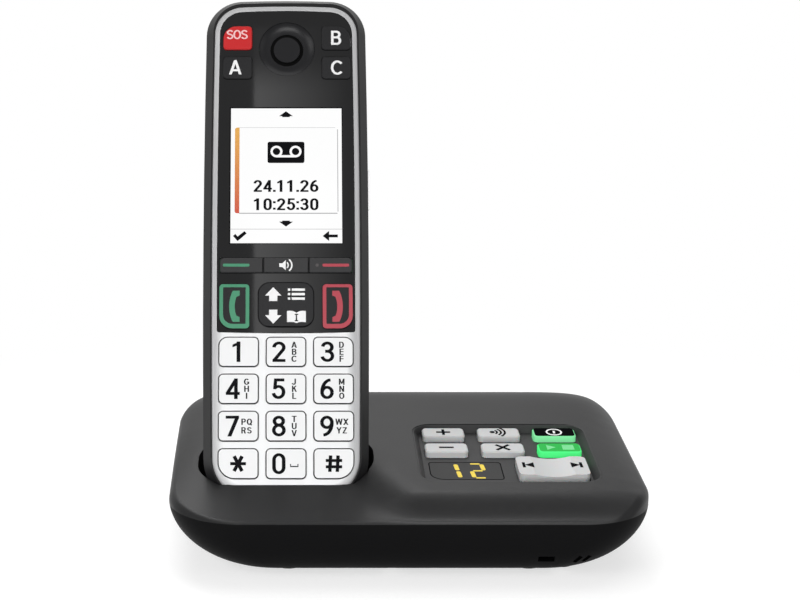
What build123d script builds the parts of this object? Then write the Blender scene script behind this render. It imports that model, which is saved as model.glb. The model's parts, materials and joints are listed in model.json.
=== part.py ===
from build123d import *
from math import cos, exp, log, radians, sin, tan
import os

os.makedirs("parts", exist_ok=True)

# A cordless telephone standing in the cradle of its answering-machine base.
# Millimetres, +X to the right, +Y to the back, +Z up. The origin is on the
# table, at the middle of the base's footprint.

# ---------------------------------------------------------------- base sizes
BASE_WIDTH = 160.0
BASE_DEPTH = 114.0
BASE_CORNER = 25.0
SEAM_HEIGHT = 21.0  # parting line of the two base housings
FOOT_HEIGHT = 1.5
WALL = 2.0

BOWL_SIDE = 24.0  # how far the lower housing draws in at the left and right
BOWL_END = 14.0  # and at the front and back
BOWL_SOFTNESS = 0.85  # below 1, its walls lean in sooner than a quarter ellipse
BOWL_CORNER_LOSS = 10.0  # how much smaller its corners are at the bottom
BOWL_TURNS = (0, 25, 45, 65, 90)
ROOM_TURNS = (0, 40, 65, 90)  # flat-sided room inside it

# The top of the base is a plane that rises to the back, with a low apron in
# front of the cradle and a rounded step in front of the keys.
TOP_SLOPE = 6.0  # degrees
TOP_HEIGHT = 28.8  # height of the plane at its front edge
TOP_FRONT = -36.6
APRON_HEIGHT = 21.5
APRON_RISE = 0.20
STEP_FRONT = -53.0
STEP_DEPTH = 8.5
STEP_MIDDLE = -12.0  # where apron and step meet, left of the keys
STEP_BACK = -30.0
STEP_SPREAD = 11.0
STEP_SLANT = 0.4  # how far that place moves to the right for each mm to the front
APRON_BLEND = 0.8  # softness of the line where the apron meets the plane
EDGE_DROP = 0.42  # share of its height that the top loses at its rim
SIDE_POWER = 12  # how late the top starts to fall towards its sides
END_POWER = 9  # and towards its back
TOP_GRID = 4.0
RIM_ROUND = 3.0
BLOCK_HEIGHT = 22.0  # blank that the upper housing is cut from
OVERLAP = 0.5  # how deep a post or rib runs into the wall that carries it

# ------------------------------------------------------------ key panel sizes
PANEL_X = 34.4
PANEL_Y = -11.7
PANEL_WIDTH = 61.2
PANEL_LENGTH = 50.1
PANEL_CORNER = 7.0
PANEL_FLOOR_CORNER = 3.0
PANEL_DEPTH = 3.0
PANEL_FLOOR = 1.5
PANEL_BEVEL = (2.4, 1.2)  # how far its walls slope in at the sides, and at the back
PANEL_SLACK = 0.1  # to the housing, all round
PANEL_RIM = (0.5, 0.25)  # width of its rim, and how far that lies below the top
PANEL_SKIRT = 0.8
WINDOW_THICKNESS = 0.9
WINDOW_LEDGE = 0.6
BASE_KEY_TOP = -0.8  # below the top of the base
BASE_KEY_WIDTH = 14.8
BASE_KEY_LENGTH = 7.8
BASE_KEY_ROUND = 1.6
BASE_KEY_GAP = 0.25
BASE_KEY_EDGE = 0.4
BASE_FLANGE = 0.9  # thickness of the flange that keeps a base key in
BASE_FLANGE_PLAY = 0.3
WINDOW_WIDTH = 25.0
WINDOW_LENGTH = 14.8
WINDOW_PLACE = (-14.0, -9.4)
SKIP_WIDTH = 23.8
SKIP_LENGTH = 15.2
SKIP_PLACE = (15.1, -10.9)
SKIP_GAP = 0.35
SKIP_RAISED = 0.5  # above the other keys
SKIP_RIB = 0.9  # below the panel
SKIP_DIP = (26.0, 0.9)  # radius and depth
KEY_COLUMNS = (-19.5, 0.1, 19.8)
KEY_ROWS = (19.4, 5.7)

# -------------------------------------------------------------- handset sizes
LEAN = 23.5  # degrees back from upright
HANDSET_X = -40.9
HANDSET_Y = -32.0
HANDSET_Z = 26.5
HALF_WIDTH = 28.6  # at the widest place
WAIST = 88.0  # height of the widest place
SIDE_BULGE = 0.9  # its sides draw in by this much
BULGE_REACH = 92.0  # at this distance from the widest place
HANDSET_BOTTOM = -7.5
HANDSET_TOP = 171.0
HANDSET_DEPTH = 27.0
TOP_CORNER = 13.0
BOTTOM_CORNER = 17.0
END_ARCH = (0.9, 0.4)  # how far its top and bottom ends bow out
BACK_ROUND = 7.0
FRONT_SLOPE = (2.6, 5.0)  # bevel round the face: in from the side, and back
FRONT_LIP = 0.3  # the grey face stands this much proud of the back shell
BEZEL_INSET = 3.1
BEZEL_TOP = 167.3
BEZEL_BOTTOM = -4.4
BEZEL_THICKNESS = 1.6
BEZEL_ROUND = 0.9
LENS_INSET = 4.9
LENS_TOP = 165.4
LENS_BOTTOM = 51.5
LENS_THICKNESS = 1.2
CRADLE_GAP = 0.5
CRADLE_MOUTH = (60.2, 30.4, 13.5)  # width, depth and corner of the opening
CAVITY_FLOOR = -13.2  # how deep the front room of the back shell goes

KEY_GAP = 0.2
KEY_PROUD = 0.5
CAP_BOTTOM = -1.8
FLANGE = 0.6
MAT_TOP = -3.0
MAT_BOTTOM = -3.8
BOARD_BOTTOM = -5.2

KEYPAD_X = 16.05
KEYPAD_Y = 12.65
KEYPAD_TOP_ROW = 44.7
KEYPAD_SIZE = (13.5, 10.15)
KEYPAD_ROUND = 1.6
DISPLAY_SIZE = (38.8, 48.5)
DISPLAY_Y = 106.65
DISPLAY_FRAME = (3.4, 6.0)  # its metal frame is wider and longer by this
EAR_PLACE = (0.3, 152.2)
EAR_RADIUS = 9.8

BATTERY_RADIUS = 5.2
BATTERY_LENGTH = 44.0
BATTERY_BOTTOM = 35.0
COVER_SIZE = (39.0, 60.0)
COVER_MIDDLE = 57.0
COVER_THICKNESS = 1.6
SPEAKER_MIDDLE = 128.0
REAR_ROOM = (44.0, 76.0, 8.0)  # width, length and corner of the room above the batteries
REAR_ROOM_MIDDLE = 124.0
SIDE_KEY_SIZE = (5.9, 14.8, 3.2)  # depth into the side, length and thickness
SIDE_KEY_BACK = 23.4
SIDE_KEY_MIDDLE = 103.5
SIDE_KEY_FRONT = -7.4
HANDSET_SCREWS = ((-14.0, 20.0), (14.0, 20.0))

# ---------------------------------------------------------------- work planes
PANEL_HEIGHT = TOP_HEIGHT + (PANEL_Y - TOP_FRONT) * tan(radians(TOP_SLOPE))
PANEL = Plane(
    origin=(PANEL_X, PANEL_Y, PANEL_HEIGHT),
    x_dir=(1, 0, 0),
    z_dir=(0, -sin(radians(TOP_SLOPE)), cos(radians(TOP_SLOPE))),
)
# The handset's own frame: x to the right, y up along the handset, z out of its face.
HANDSET = Plane(
    origin=(HANDSET_X, HANDSET_Y, HANDSET_Z),
    x_dir=(1, 0, 0),
    z_dir=(0, -cos(radians(LEAN)), sin(radians(LEAN))),
)
FACE_AXIS = Axis(HANDSET.origin, HANDSET.z_dir)
LENGTH_AXIS = Axis(HANDSET.origin, HANDSET.y_dir)
PANEL_AXIS = Axis(PANEL.origin, PANEL.z_dir)


def across_handset(height):
    """Plane square to the handset's length; its y runs to the handset's back."""
    middle = HANDSET.from_local_coords((0, height, -HANDSET_DEPTH / 2))
    return Plane(origin=middle, x_dir=(1, 0, 0), z_dir=HANDSET.y_dir)


def finish(part, name):
    """Label a finished piece and write it."""
    part.label = name
    export_step(part, f"parts/{name}.step")


# ------------------------------------------------------------------- outlines
def smooth_step(value):
    value = min(1.0, max(0.0, value))
    return value * value * (3 - 2 * value)


def top_height(x, y):
    """Height of the base's upper surface."""
    plane = TOP_HEIGHT + (y - TOP_FRONT) * tan(radians(TOP_SLOPE))
    apron = APRON_HEIGHT + APRON_RISE * (y + BASE_DEPTH / 2)
    apron_drop = APRON_BLEND * log(1 + exp((plane - apron) / APRON_BLEND))
    step_drop = (plane - apron) * (1 - smooth_step((y - STEP_FRONT) / STEP_DEPTH))
    middle = STEP_MIDDLE - STEP_SLANT * (y - STEP_BACK)
    side = smooth_step((x - middle + STEP_SPREAD) / (2 * STEP_SPREAD))
    height = plane - apron_drop * (1 - side) - step_drop * side
    fall = (2 * abs(x) / BASE_WIDTH) ** SIDE_POWER + (2 * abs(y) / BASE_DEPTH) ** END_POWER
    return APRON_HEIGHT + (height - APRON_HEIGHT) * (1 - EDGE_DROP * fall)


def top_surface(lower=0.0):
    """The upper surface of the base as one face, moved down by a wall."""
    columns = round(BASE_WIDTH / TOP_GRID) + 3
    rows = round(BASE_DEPTH / TOP_GRID) + 3
    points = []
    for row in range(rows):
        y = (row - (rows - 1) / 2) * TOP_GRID
        line = []
        for column in range(columns):
            x = (column - (columns - 1) / 2) * TOP_GRID
            line.append((x, y, top_height(x, y) - lower))
        points.append(line)
    return Face.make_surface_from_array_of_points(points, tol=0.02)


def soft_rectangle(width, height, corners, grow=0.0):
    """Rectangle round the origin; corners run top left, top right, bottom right, bottom left."""
    places = ((-1, 1), (1, 1), (1, -1), (-1, -1))
    with BuildSketch() as shape:
        Rectangle(width, height)
        for (side, end), radius in zip(places, corners):
            corner = (side * width / 2, end * height / 2)
            fillet(shape.vertices().sort_by_distance(corner)[0], radius)
        if grow:
            offset(amount=grow)
    return shape.sketch


def handset_side(height, inset):
    """Half width of the handset's gently barrelled outline at a height."""
    return HALF_WIDTH - inset - SIDE_BULGE * ((height - WAIST) / BULGE_REACH) ** 2


def handset_face(inset, bottom, top, bottom_corner, top_corner):
    """Outline of the handset, or of a piece inset into it, seen from the front."""
    heights = (bottom, (bottom + top) / 2, top)
    right = [(handset_side(h, inset), h) for h in heights]
    left = [(-x, h) for x, h in right]
    with BuildSketch() as shape:
        with BuildLine():
            ThreePointArc(*right)
            ThreePointArc(right[2], (0, top + END_ARCH[0]), left[2])
            ThreePointArc(*reversed(left))
            ThreePointArc(left[0], (0, bottom - END_ARCH[1]), right[0])
        make_face()
        fillet(shape.vertices().group_by(Axis.Y)[-1], top_corner)
        fillet(shape.vertices().group_by(Axis.Y)[0], bottom_corner)
    return shape.sketch


def handset_blank(grow=0.0):
    """Outer form of the handset's back shell, grown all round where it is asked."""
    outline = handset_face(
        -grow,
        HANDSET_BOTTOM - grow,
        HANDSET_TOP + grow,
        BOTTOM_CORNER + grow,
        TOP_CORNER + grow,
    )
    with BuildPart() as blank:
        with BuildSketch(HANDSET.offset(-HANDSET_DEPTH - grow)):
            add(outline)
        extrude(amount=HANDSET_DEPTH - FRONT_LIP + 2 * grow)
        fillet(blank.faces().sort_by(FACE_AXIS)[0].edges(), BACK_ROUND + grow)
        front = blank.faces().sort_by(FACE_AXIS)[-1]
        chamfer(front.edges(), *FRONT_SLOPE, reference=front)
    return blank.part


# ---------------------------------------------------------- base lower housing
def bowl_size(turn, wall=0.0):
    """Width, depth, corner and height of the bowl-shaped housing at one turn of its curve."""
    drawn_in = (1 - cos(radians(turn))) ** BOWL_SOFTNESS
    lift = FOOT_HEIGHT + wall
    return (
        BASE_WIDTH - 2 * wall - 2 * BOWL_SIDE * drawn_in,
        BASE_DEPTH - 2 * wall - 2 * BOWL_END * drawn_in,
        BASE_CORNER - wall - BOWL_CORNER_LOSS * drawn_in,
        SEAM_HEIGHT - (SEAM_HEIGHT - lift) * sin(radians(turn)),
    )


SOCKET_SIZE = (13.0, 13.0, 11.0)  # width, depth, height
SOCKET_X = (8.0, 26.0)
SOCKET_REAR = 50.0
SOCKET_BOTTOM = 7.6
NICHE_X = sum(SOCKET_X) / 2
NICHE_WALL = (38.0, 4.5, 14.5)  # the wall round both sockets: width, thickness, height
NICHE_WALL_BOTTOM = 5.5
NICHE_WIDTH = 35.0
BOARD_THICKNESS = 1.6
BOARD_POSTS = ((2, 20), (38, 20), (2, -26), (38, -26))
BOARD_POST_RADIUS = 2.5
SCREW_PLACES = ((-50.0, 34.0), (50.0, 34.0), (50.0, -43.5), (-6.0, -43.5))
SCREW_RADIUS = 1.4
SCREW_HEAD = (2.8, 1.8)  # radius and height
SCREW_SINK = (3.2, 3.0)  # radius and depth of the hole over its head
SCREW_LENGTH = 18.0
POST_RADIUS = 4.0
POST_TOP = 14.0
FOOT_PLACES = ((-40.0, -36.5), (40.0, -36.5), (-40.0, 36.5), (40.0, 36.5))
FOOT_RADIUS = 5.0
FLOOR_TOP = FOOT_HEIGHT + WALL
SPEAKER_PLACE = (-35.0, 13.5)
SPEAKER_RADIUS = 18.5
SPEAKER_RING = 1.8  # wall of the ring that it sits in
SOUND_SLOT = (22.0, 2.0)
SOUND_PITCH = 5.0
# Three small openings low on the front right: a bar and a slanted pair.
BAR_OPENING = ((43.9, 7.6), (5.4, 2.3))
SLANTED_OPENINGS = ((54.2, 7.2), (57.2, 7.2))
SLANTED_SIZE = (1.5, 3.4)
SLANT = -35
OPENINGS_BEHIND = 45.0  # they go through the front wall from here

with BuildPart() as base_lower_shell:
    for turn in BOWL_TURNS:
        width, depth, corner, height = bowl_size(turn)
        with BuildSketch(Plane.XY.offset(height)):
            RectangleRounded(width, depth, corner)
    loft()
    for turn in ROOM_TURNS:
        width, depth, corner, height = bowl_size(turn, WALL)
        with BuildSketch(Plane.XY.offset(height)):
            RectangleRounded(width, depth, corner)
    loft(ruled=True, mode=Mode.SUBTRACT)
    # niche in the back wall for the two line sockets
    with BuildSketch(Plane.XY.offset(NICHE_WALL_BOTTOM)):
        with Locations((NICHE_X, SOCKET_REAR + 1 - NICHE_WALL[1] / 2)):
            Rectangle(NICHE_WALL[0], NICHE_WALL[1])
    extrude(amount=NICHE_WALL[2])
    with BuildSketch(Plane.XY.offset(SOCKET_BOTTOM - 1)):
        with Locations((NICHE_X, SOCKET_REAR)):
            Rectangle(NICHE_WIDTH, BASE_DEPTH, align=(Align.CENTER, Align.MIN))
    extrude(amount=SOCKET_SIZE[2] + 2, mode=Mode.SUBTRACT)
    with BuildSketch(Plane.XZ.offset(-SOCKET_REAR)):
        with Locations(*[(x, SOCKET_BOTTOM + SOCKET_SIZE[2] / 2) for x in SOCKET_X]):
            Rectangle(SOCKET_SIZE[0], SOCKET_SIZE[2])
    extrude(amount=2 * NICHE_WALL[1], mode=Mode.SUBTRACT)
    # screw posts, board posts and the ring that holds the loudspeaker
    with BuildSketch(Plane.XY.offset(FLOOR_TOP - OVERLAP)):
        with Locations(*SCREW_PLACES):
            Circle(POST_RADIUS)
    extrude(amount=POST_TOP - FLOOR_TOP + OVERLAP)
    with BuildSketch(Plane.XY.offset(FLOOR_TOP - OVERLAP)):
        with Locations(*BOARD_POSTS):
            Circle(BOARD_POST_RADIUS)
    extrude(amount=SOCKET_BOTTOM - BOARD_THICKNESS - FLOOR_TOP + OVERLAP)
    with BuildSketch(Plane.XY.offset(FLOOR_TOP - OVERLAP)):
        with Locations(SPEAKER_PLACE):
            Circle(SPEAKER_RADIUS + 0.2 + SPEAKER_RING)
            Circle(SPEAKER_RADIUS + 0.2, mode=Mode.SUBTRACT)
    extrude(amount=3 + OVERLAP)
    with Locations(*[Location((x, y, FOOT_HEIGHT), (180, 0, 0)) for x, y in SCREW_PLACES]):
        CounterBoreHole(SCREW_RADIUS + 0.1, *SCREW_SINK)
    # sound slots under the loudspeaker
    with BuildSketch(Plane.XY):
        with Locations(SPEAKER_PLACE):
            with GridLocations(0, SOUND_PITCH, 1, 5):
                SlotOverall(*SOUND_SLOT)
    extrude(amount=FLOOR_TOP + OVERLAP, mode=Mode.SUBTRACT)
    with BuildSketch(Plane.XZ.offset(OPENINGS_BEHIND)):
        with Locations(BAR_OPENING[0]):
            Rectangle(*BAR_OPENING[1])
        with Locations(*SLANTED_OPENINGS):
            Rectangle(*SLANTED_SIZE, rotation=SLANT)
    extrude(amount=BASE_DEPTH / 2 - OPENINGS_BEHIND + 1, mode=Mode.SUBTRACT)
finish(base_lower_shell.part, "base_lower_shell")

with BuildPart() as base_feet:
    with BuildSketch(Plane.XY):
        with Locations(*FOOT_PLACES):
            Circle(FOOT_RADIUS)
    extrude(amount=FOOT_HEIGHT)
    chamfer(base_feet.faces().group_by(Axis.Z)[0].edges(), 0.4)
finish(base_feet.part, "base_feet")

# ---------------------------------------------------------- base upper housing
above_top = extrude(top_surface(), amount=BLOCK_HEIGHT, dir=(0, 0, 1))
above_lining = extrude(top_surface(lower=WALL), amount=BLOCK_HEIGHT, dir=(0, 0, 1))

with BuildPart() as upper_room:
    with BuildSketch(Plane.XY.offset(SEAM_HEIGHT)):
        RectangleRounded(BASE_WIDTH - 2 * WALL, BASE_DEPTH - 2 * WALL, BASE_CORNER - WALL)
    extrude(amount=BLOCK_HEIGHT)
    add(above_lining, mode=Mode.SUBTRACT)

mouth_shift = (CRADLE_MOUTH[1] - HANDSET_DEPTH) / 2 - CRADLE_GAP
MOUTH_REACH = 34.0
PANEL_OPENING_BOTTOM = -8.0
SCREW_BITE = 8.5

with BuildPart() as cradle_room:
    add(handset_blank(CRADLE_GAP))
    with BuildSketch(across_handset(-1.0)):
        with Locations((0, mouth_shift)):
            RectangleRounded(*CRADLE_MOUTH)
    extrude(amount=MOUTH_REACH)

with BuildPart() as upper_posts:
    with BuildSketch(Plane.XY.offset(POST_TOP)):
        with Locations(*SCREW_PLACES):
            Circle(POST_RADIUS - OVERLAP)
    extrude(amount=BLOCK_HEIGHT)
    add(above_top, mode=Mode.SUBTRACT)

with BuildPart() as cradle_tub:
    add(handset_blank(CRADLE_GAP + WALL))
    with BuildSketch(across_handset(-1.0 - WALL)):
        with Locations((0, mouth_shift)):
            RectangleRounded(*[size + 2 * WALL for size in CRADLE_MOUTH[:2]], CRADLE_MOUTH[2] + WALL)
    extrude(amount=MOUTH_REACH + WALL)
    split(bisect_by=Plane.XY.offset(TOP_HEIGHT + 10), keep=Keep.BOTTOM)
    add(above_top, mode=Mode.SUBTRACT)

CONTACT_SPACING = 16.0
CONTACT_SIZE = (3.0, 6.0)
CONTACT_SLACK = 0.3

with BuildPart() as base_upper_shell:
    with BuildSketch(Plane.XY.offset(SEAM_HEIGHT)):
        RectangleRounded(BASE_WIDTH, BASE_DEPTH, BASE_CORNER)
    extrude(amount=BLOCK_HEIGHT)
    add(above_top, mode=Mode.SUBTRACT)
    fillet(base_upper_shell.faces().sort_by(Axis.Z)[-1].edges(), RIM_ROUND)
    add(upper_room.part, mode=Mode.SUBTRACT)
    add(cradle_tub.part)
    add(upper_posts.part)
    add(cradle_room.part, mode=Mode.SUBTRACT)
    with BuildSketch(PANEL.offset(PANEL_OPENING_BOTTOM)):
        RectangleRounded(PANEL_WIDTH, PANEL_LENGTH, PANEL_CORNER)
    extrude(amount=BLOCK_HEIGHT, mode=Mode.SUBTRACT)
    with BuildSketch(Plane.XY.offset(POST_TOP)):
        with Locations(*SCREW_PLACES):
            Circle(SCREW_RADIUS)
    extrude(amount=SCREW_BITE, mode=Mode.SUBTRACT)
    # slots in the cradle floor for the charging contacts
    with BuildSketch(across_handset(HANDSET_BOTTOM - 6)):
        with GridLocations(CONTACT_SPACING, 0, 2, 1):
            Rectangle(CONTACT_SIZE[0] + 2 * CONTACT_SLACK, CONTACT_SIZE[1] + 2 * CONTACT_SLACK)
    extrude(amount=10, mode=Mode.SUBTRACT)
finish(base_upper_shell.part, "base_upper_shell")


# ------------------------------------------------------------------ key panel
# A grey dish set into the top of the base. Its floor carries the keys and the
# window, and its skirt stands on the key board.
FLOOR = -PANEL_DEPTH
FLOOR_UNDER = FLOOR - PANEL_FLOOR
PANEL_FLANGE = 1.6
FLANGE_TOP = -WALL - 0.8
PANEL_BOARD_TOP = -7.6
PANEL_MAT_TOP = -6.8
BASE_KEYS = {
    "volume_up_key": (KEY_COLUMNS[0], KEY_ROWS[0]),
    "volume_down_key": (KEY_COLUMNS[0], KEY_ROWS[1]),
    "paging_key": (KEY_COLUMNS[1], KEY_ROWS[0]),
    "delete_key": (KEY_COLUMNS[1], KEY_ROWS[1]),
    "power_key": (KEY_COLUMNS[2], KEY_ROWS[0]),
    "play_key": (KEY_COLUMNS[2], KEY_ROWS[1]),
}
window_corners = (1.5, 1.5, 1.5, 5.0)
base_key_corners = (BASE_KEY_ROUND,) * 4
skip_corners = (2.0,) * 4
window_shape = soft_rectangle(WINDOW_WIDTH, WINDOW_LENGTH, window_corners)

with BuildPart() as key_panel:
    with BuildSketch(PANEL.offset(PANEL_BOARD_TOP)):
        RectangleRounded(
            PANEL_WIDTH - 2 * PANEL_SLACK, PANEL_LENGTH - 2 * PANEL_SLACK, PANEL_CORNER - PANEL_SLACK
        )
    extrude(amount=-PANEL_BOARD_TOP - PANEL_RIM[1])
    with BuildSketch(PANEL.offset(FLOOR_UNDER)):
        RectangleRounded(
            PANEL_WIDTH + 2 * PANEL_FLANGE, PANEL_LENGTH + 2 * PANEL_FLANGE, PANEL_CORNER + PANEL_FLANGE
        )
    extrude(amount=FLANGE_TOP - FLOOR_UNDER)
    # the dish, with its walls sloping in
    with BuildSketch(PANEL.offset(-PANEL_RIM[1])):
        RectangleRounded(
            PANEL_WIDTH - 2 * PANEL_RIM[0], PANEL_LENGTH - 2 * PANEL_RIM[0], PANEL_CORNER - PANEL_RIM[0]
        )
    with BuildSketch(PANEL.offset(FLOOR)):
        with Locations((0, (PANEL_BEVEL[0] - PANEL_BEVEL[1]) / 2)):
            RectangleRounded(
                PANEL_WIDTH - 2 * PANEL_BEVEL[0], PANEL_LENGTH - sum(PANEL_BEVEL), PANEL_FLOOR_CORNER
            )
    loft(mode=Mode.SUBTRACT)
    with BuildSketch(PANEL.offset(PANEL_BOARD_TOP)):
        RectangleRounded(
            PANEL_WIDTH - 2 * PANEL_SKIRT, PANEL_LENGTH - 2 * PANEL_SKIRT, PANEL_FLOOR_CORNER
        )
    extrude(amount=FLOOR_UNDER - PANEL_BOARD_TOP, mode=Mode.SUBTRACT)
    # openings for the keys and the window, with a ledge for the window
    with BuildSketch(PANEL.offset(FLOOR_UNDER)):
        with Locations(*BASE_KEYS.values()):
            add(soft_rectangle(BASE_KEY_WIDTH, BASE_KEY_LENGTH, base_key_corners, BASE_KEY_GAP))
        with Locations(SKIP_PLACE):
            add(soft_rectangle(SKIP_WIDTH, SKIP_LENGTH, skip_corners, SKIP_GAP))
        with Locations(WINDOW_PLACE):
            add(
                soft_rectangle(
                    WINDOW_WIDTH - 2 * WINDOW_LEDGE, WINDOW_LENGTH - 2 * WINDOW_LEDGE, window_corners
                )
            )
    extrude(amount=PANEL_FLOOR, mode=Mode.SUBTRACT)
    with BuildSketch(PANEL.offset(FLOOR)):
        with Locations(WINDOW_PLACE):
            add(window_shape)
    extrude(amount=-WINDOW_THICKNESS, mode=Mode.SUBTRACT)
finish(key_panel.part, "key_panel")

with BuildPart() as display_window:
    with BuildSketch(PANEL.offset(FLOOR - WINDOW_THICKNESS)):
        with Locations(WINDOW_PLACE):
            add(window_shape)
    extrude(amount=WINDOW_THICKNESS)
finish(display_window.part, "display_window")

# The base's keys: a rounded cap through the floor and a flange under it.
flange_under = FLOOR_UNDER - BASE_FLANGE_PLAY - BASE_FLANGE
for name, place in BASE_KEYS.items():
    with BuildPart() as base_key:
        with BuildSketch(PANEL.offset(flange_under)):
            with Locations(place):
                add(soft_rectangle(BASE_KEY_WIDTH, BASE_KEY_LENGTH, base_key_corners))
        extrude(amount=BASE_KEY_TOP - flange_under)
        chamfer(base_key.faces().sort_by(PANEL_AXIS)[-1].edges(), BASE_KEY_EDGE)
        with BuildSketch(PANEL.offset(flange_under)):
            with Locations(place):
                Rectangle(BASE_KEY_WIDTH + 2 * FLANGE, BASE_KEY_LENGTH + 2 * FLANGE)
        extrude(amount=BASE_FLANGE)
    finish(base_key.part, name)

# The wide rocker has a shallow dip across its middle.
skip_top = BASE_KEY_TOP + SKIP_RAISED
skip_middle = PANEL.from_local_coords((SKIP_PLACE[0], SKIP_PLACE[1], skip_top))
with BuildPart() as skip_key:
    with BuildSketch(PANEL.offset(FLOOR_UNDER - SKIP_RIB)):
        with Locations(SKIP_PLACE):
            add(soft_rectangle(SKIP_WIDTH, SKIP_LENGTH, skip_corners))
    extrude(amount=skip_top - FLOOR_UNDER + SKIP_RIB)
    with BuildSketch(Plane(origin=skip_middle, x_dir=(1, 0, 0), z_dir=PANEL.y_dir)):
        with Locations((0, SKIP_DIP[1] - SKIP_DIP[0])):
            Circle(SKIP_DIP[0])
    extrude(amount=SKIP_LENGTH, both=True, mode=Mode.SUBTRACT)
finish(skip_key.part, "skip_key")

# Under the panel: the two-digit display, the rubber key mat and the key board.
DIGIT_HEIGHT = 12.2
DIGIT_WIDTH = 6.0
DIGIT_STROKE = 1.3
DIGIT_X = (-5.0, 4.8)
DIGIT_SEGMENTS = ("bc", "abged")
DIGIT_SQUEEZE = 0.9  # the bars stand closer than their lengths, so that they join
DIGIT_PROUD = 0.2
MODULE_SIZE = (21.0, 12.8)
MODULE_SLACK = 0.3
BOARD_NOTCH = ((25.6, -23.5), 7.5)  # place and radius, clears the front corner of the housing


def segment(name):
    """One bar of a seven-segment digit round the origin: its place, length and whether it stands."""
    half = DIGIT_WIDTH / 2
    quarter = DIGIT_HEIGHT / 4
    bars = {
        "a": (0, 2 * quarter, False),
        "b": (half, quarter, True),
        "c": (half, -quarter, True),
        "d": (0, -2 * quarter, False),
        "e": (-half, -quarter, True),
        "f": (-half, quarter, True),
        "g": (0, 0, False),
    }
    x, y, upright = bars[name]
    length = 2 * quarter if upright else DIGIT_WIDTH
    return x, y, length - DIGIT_STROKE, upright


with BuildPart() as digit_display:
    with BuildSketch(PANEL.offset(PANEL_BOARD_TOP)):
        with Locations(WINDOW_PLACE):
            Rectangle(*MODULE_SIZE)
    extrude(amount=FLOOR_UNDER - PANEL_BOARD_TOP)
    with BuildSketch(PANEL.offset(FLOOR_UNDER)):
        for digit_x, lit in zip(DIGIT_X, DIGIT_SEGMENTS):
            for letter in lit:
                x, y, length, upright = segment(letter)
                place = (WINDOW_PLACE[0] + digit_x + x, WINDOW_PLACE[1] + DIGIT_SQUEEZE * y)
                with Locations(place):
                    if upright:
                        Rectangle(DIGIT_STROKE, length)
                    else:
                        Rectangle(length, DIGIT_STROKE)
    extrude(amount=DIGIT_PROUD)
finish(digit_display.part, "digit_display")

with BuildPart() as base_key_mat:
    with BuildSketch(PANEL.offset(PANEL_BOARD_TOP)):
        RectangleRounded(
            PANEL_WIDTH - 2 * PANEL_SKIRT - 0.4, PANEL_LENGTH - 2 * PANEL_SKIRT - 0.4, PANEL_FLOOR_CORNER
        )
        with Locations(WINDOW_PLACE):
            Rectangle(*[size + 2 * MODULE_SLACK for size in MODULE_SIZE], mode=Mode.SUBTRACT)
    extrude(amount=PANEL_MAT_TOP - PANEL_BOARD_TOP)
finish(base_key_mat.part, "base_key_mat")

with BuildPart() as key_board:
    with BuildSketch(PANEL.offset(PANEL_BOARD_TOP - BOARD_THICKNESS)):
        RectangleRounded(PANEL_WIDTH + PANEL_SKIRT, PANEL_LENGTH + PANEL_SKIRT, PANEL_FLOOR_CORNER)
        with Locations(BOARD_NOTCH[0]):
            Circle(BOARD_NOTCH[1], mode=Mode.SUBTRACT)
    extrude(amount=BOARD_THICKNESS)
finish(key_board.part, "key_board")

# ------------------------------------------------------------ inside the base
BOARD_SIZE = (44.0, 80.6)
BOARD_MIDDLE = (20.0, 6.0)
BOARD_TOP = SOCKET_BOTTOM
RADIO_CAN = ((12, 12), (20, 22))  # place and size of the shield over the radio
VOICE_CHIP = ((33, -8), (10, 10))
POWER_CHIP = ((8, -14), (7, 12))
CHIP_HEIGHT = 2.4
PLUG_OPENING = (9.8, 6.8)
LATCH_OPENING = (6.0, 2.4)
LATCH_HEIGHT = 1.9  # above the floor of the socket
SOCKET_BACK = 1.5

with BuildPart() as base_circuit_board:
    with BuildSketch(Plane.XY.offset(BOARD_TOP - BOARD_THICKNESS)):
        with Locations(BOARD_MIDDLE):
            Rectangle(*BOARD_SIZE)
    extrude(amount=BOARD_THICKNESS)
    with BuildSketch(Plane.XY.offset(BOARD_TOP)):
        for place, size in (RADIO_CAN, VOICE_CHIP, POWER_CHIP):
            with Locations(place):
                Rectangle(*size)
    extrude(amount=CHIP_HEIGHT)
finish(base_circuit_board.part, "base_circuit_board")

for name, socket_x in zip(("power_socket", "line_socket"), SOCKET_X):
    plug_middle = SOCKET_BOTTOM + SOCKET_SIZE[2] / 2 + 0.6
    with BuildPart() as socket:
        with BuildSketch(Plane.XZ.offset(-SOCKET_REAR)):
            with Locations((socket_x, SOCKET_BOTTOM + SOCKET_SIZE[2] / 2)):
                Rectangle(SOCKET_SIZE[0], SOCKET_SIZE[2])
        extrude(amount=SOCKET_SIZE[1])
        with BuildSketch(Plane.XZ.offset(-SOCKET_REAR)):
            with Locations((socket_x, plug_middle)):
                Rectangle(*PLUG_OPENING)
            with Locations((socket_x, SOCKET_BOTTOM + LATCH_HEIGHT)):
                Rectangle(*LATCH_OPENING)
        extrude(amount=SOCKET_SIZE[1] - SOCKET_BACK, mode=Mode.SUBTRACT)
    finish(socket.part, name)

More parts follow.
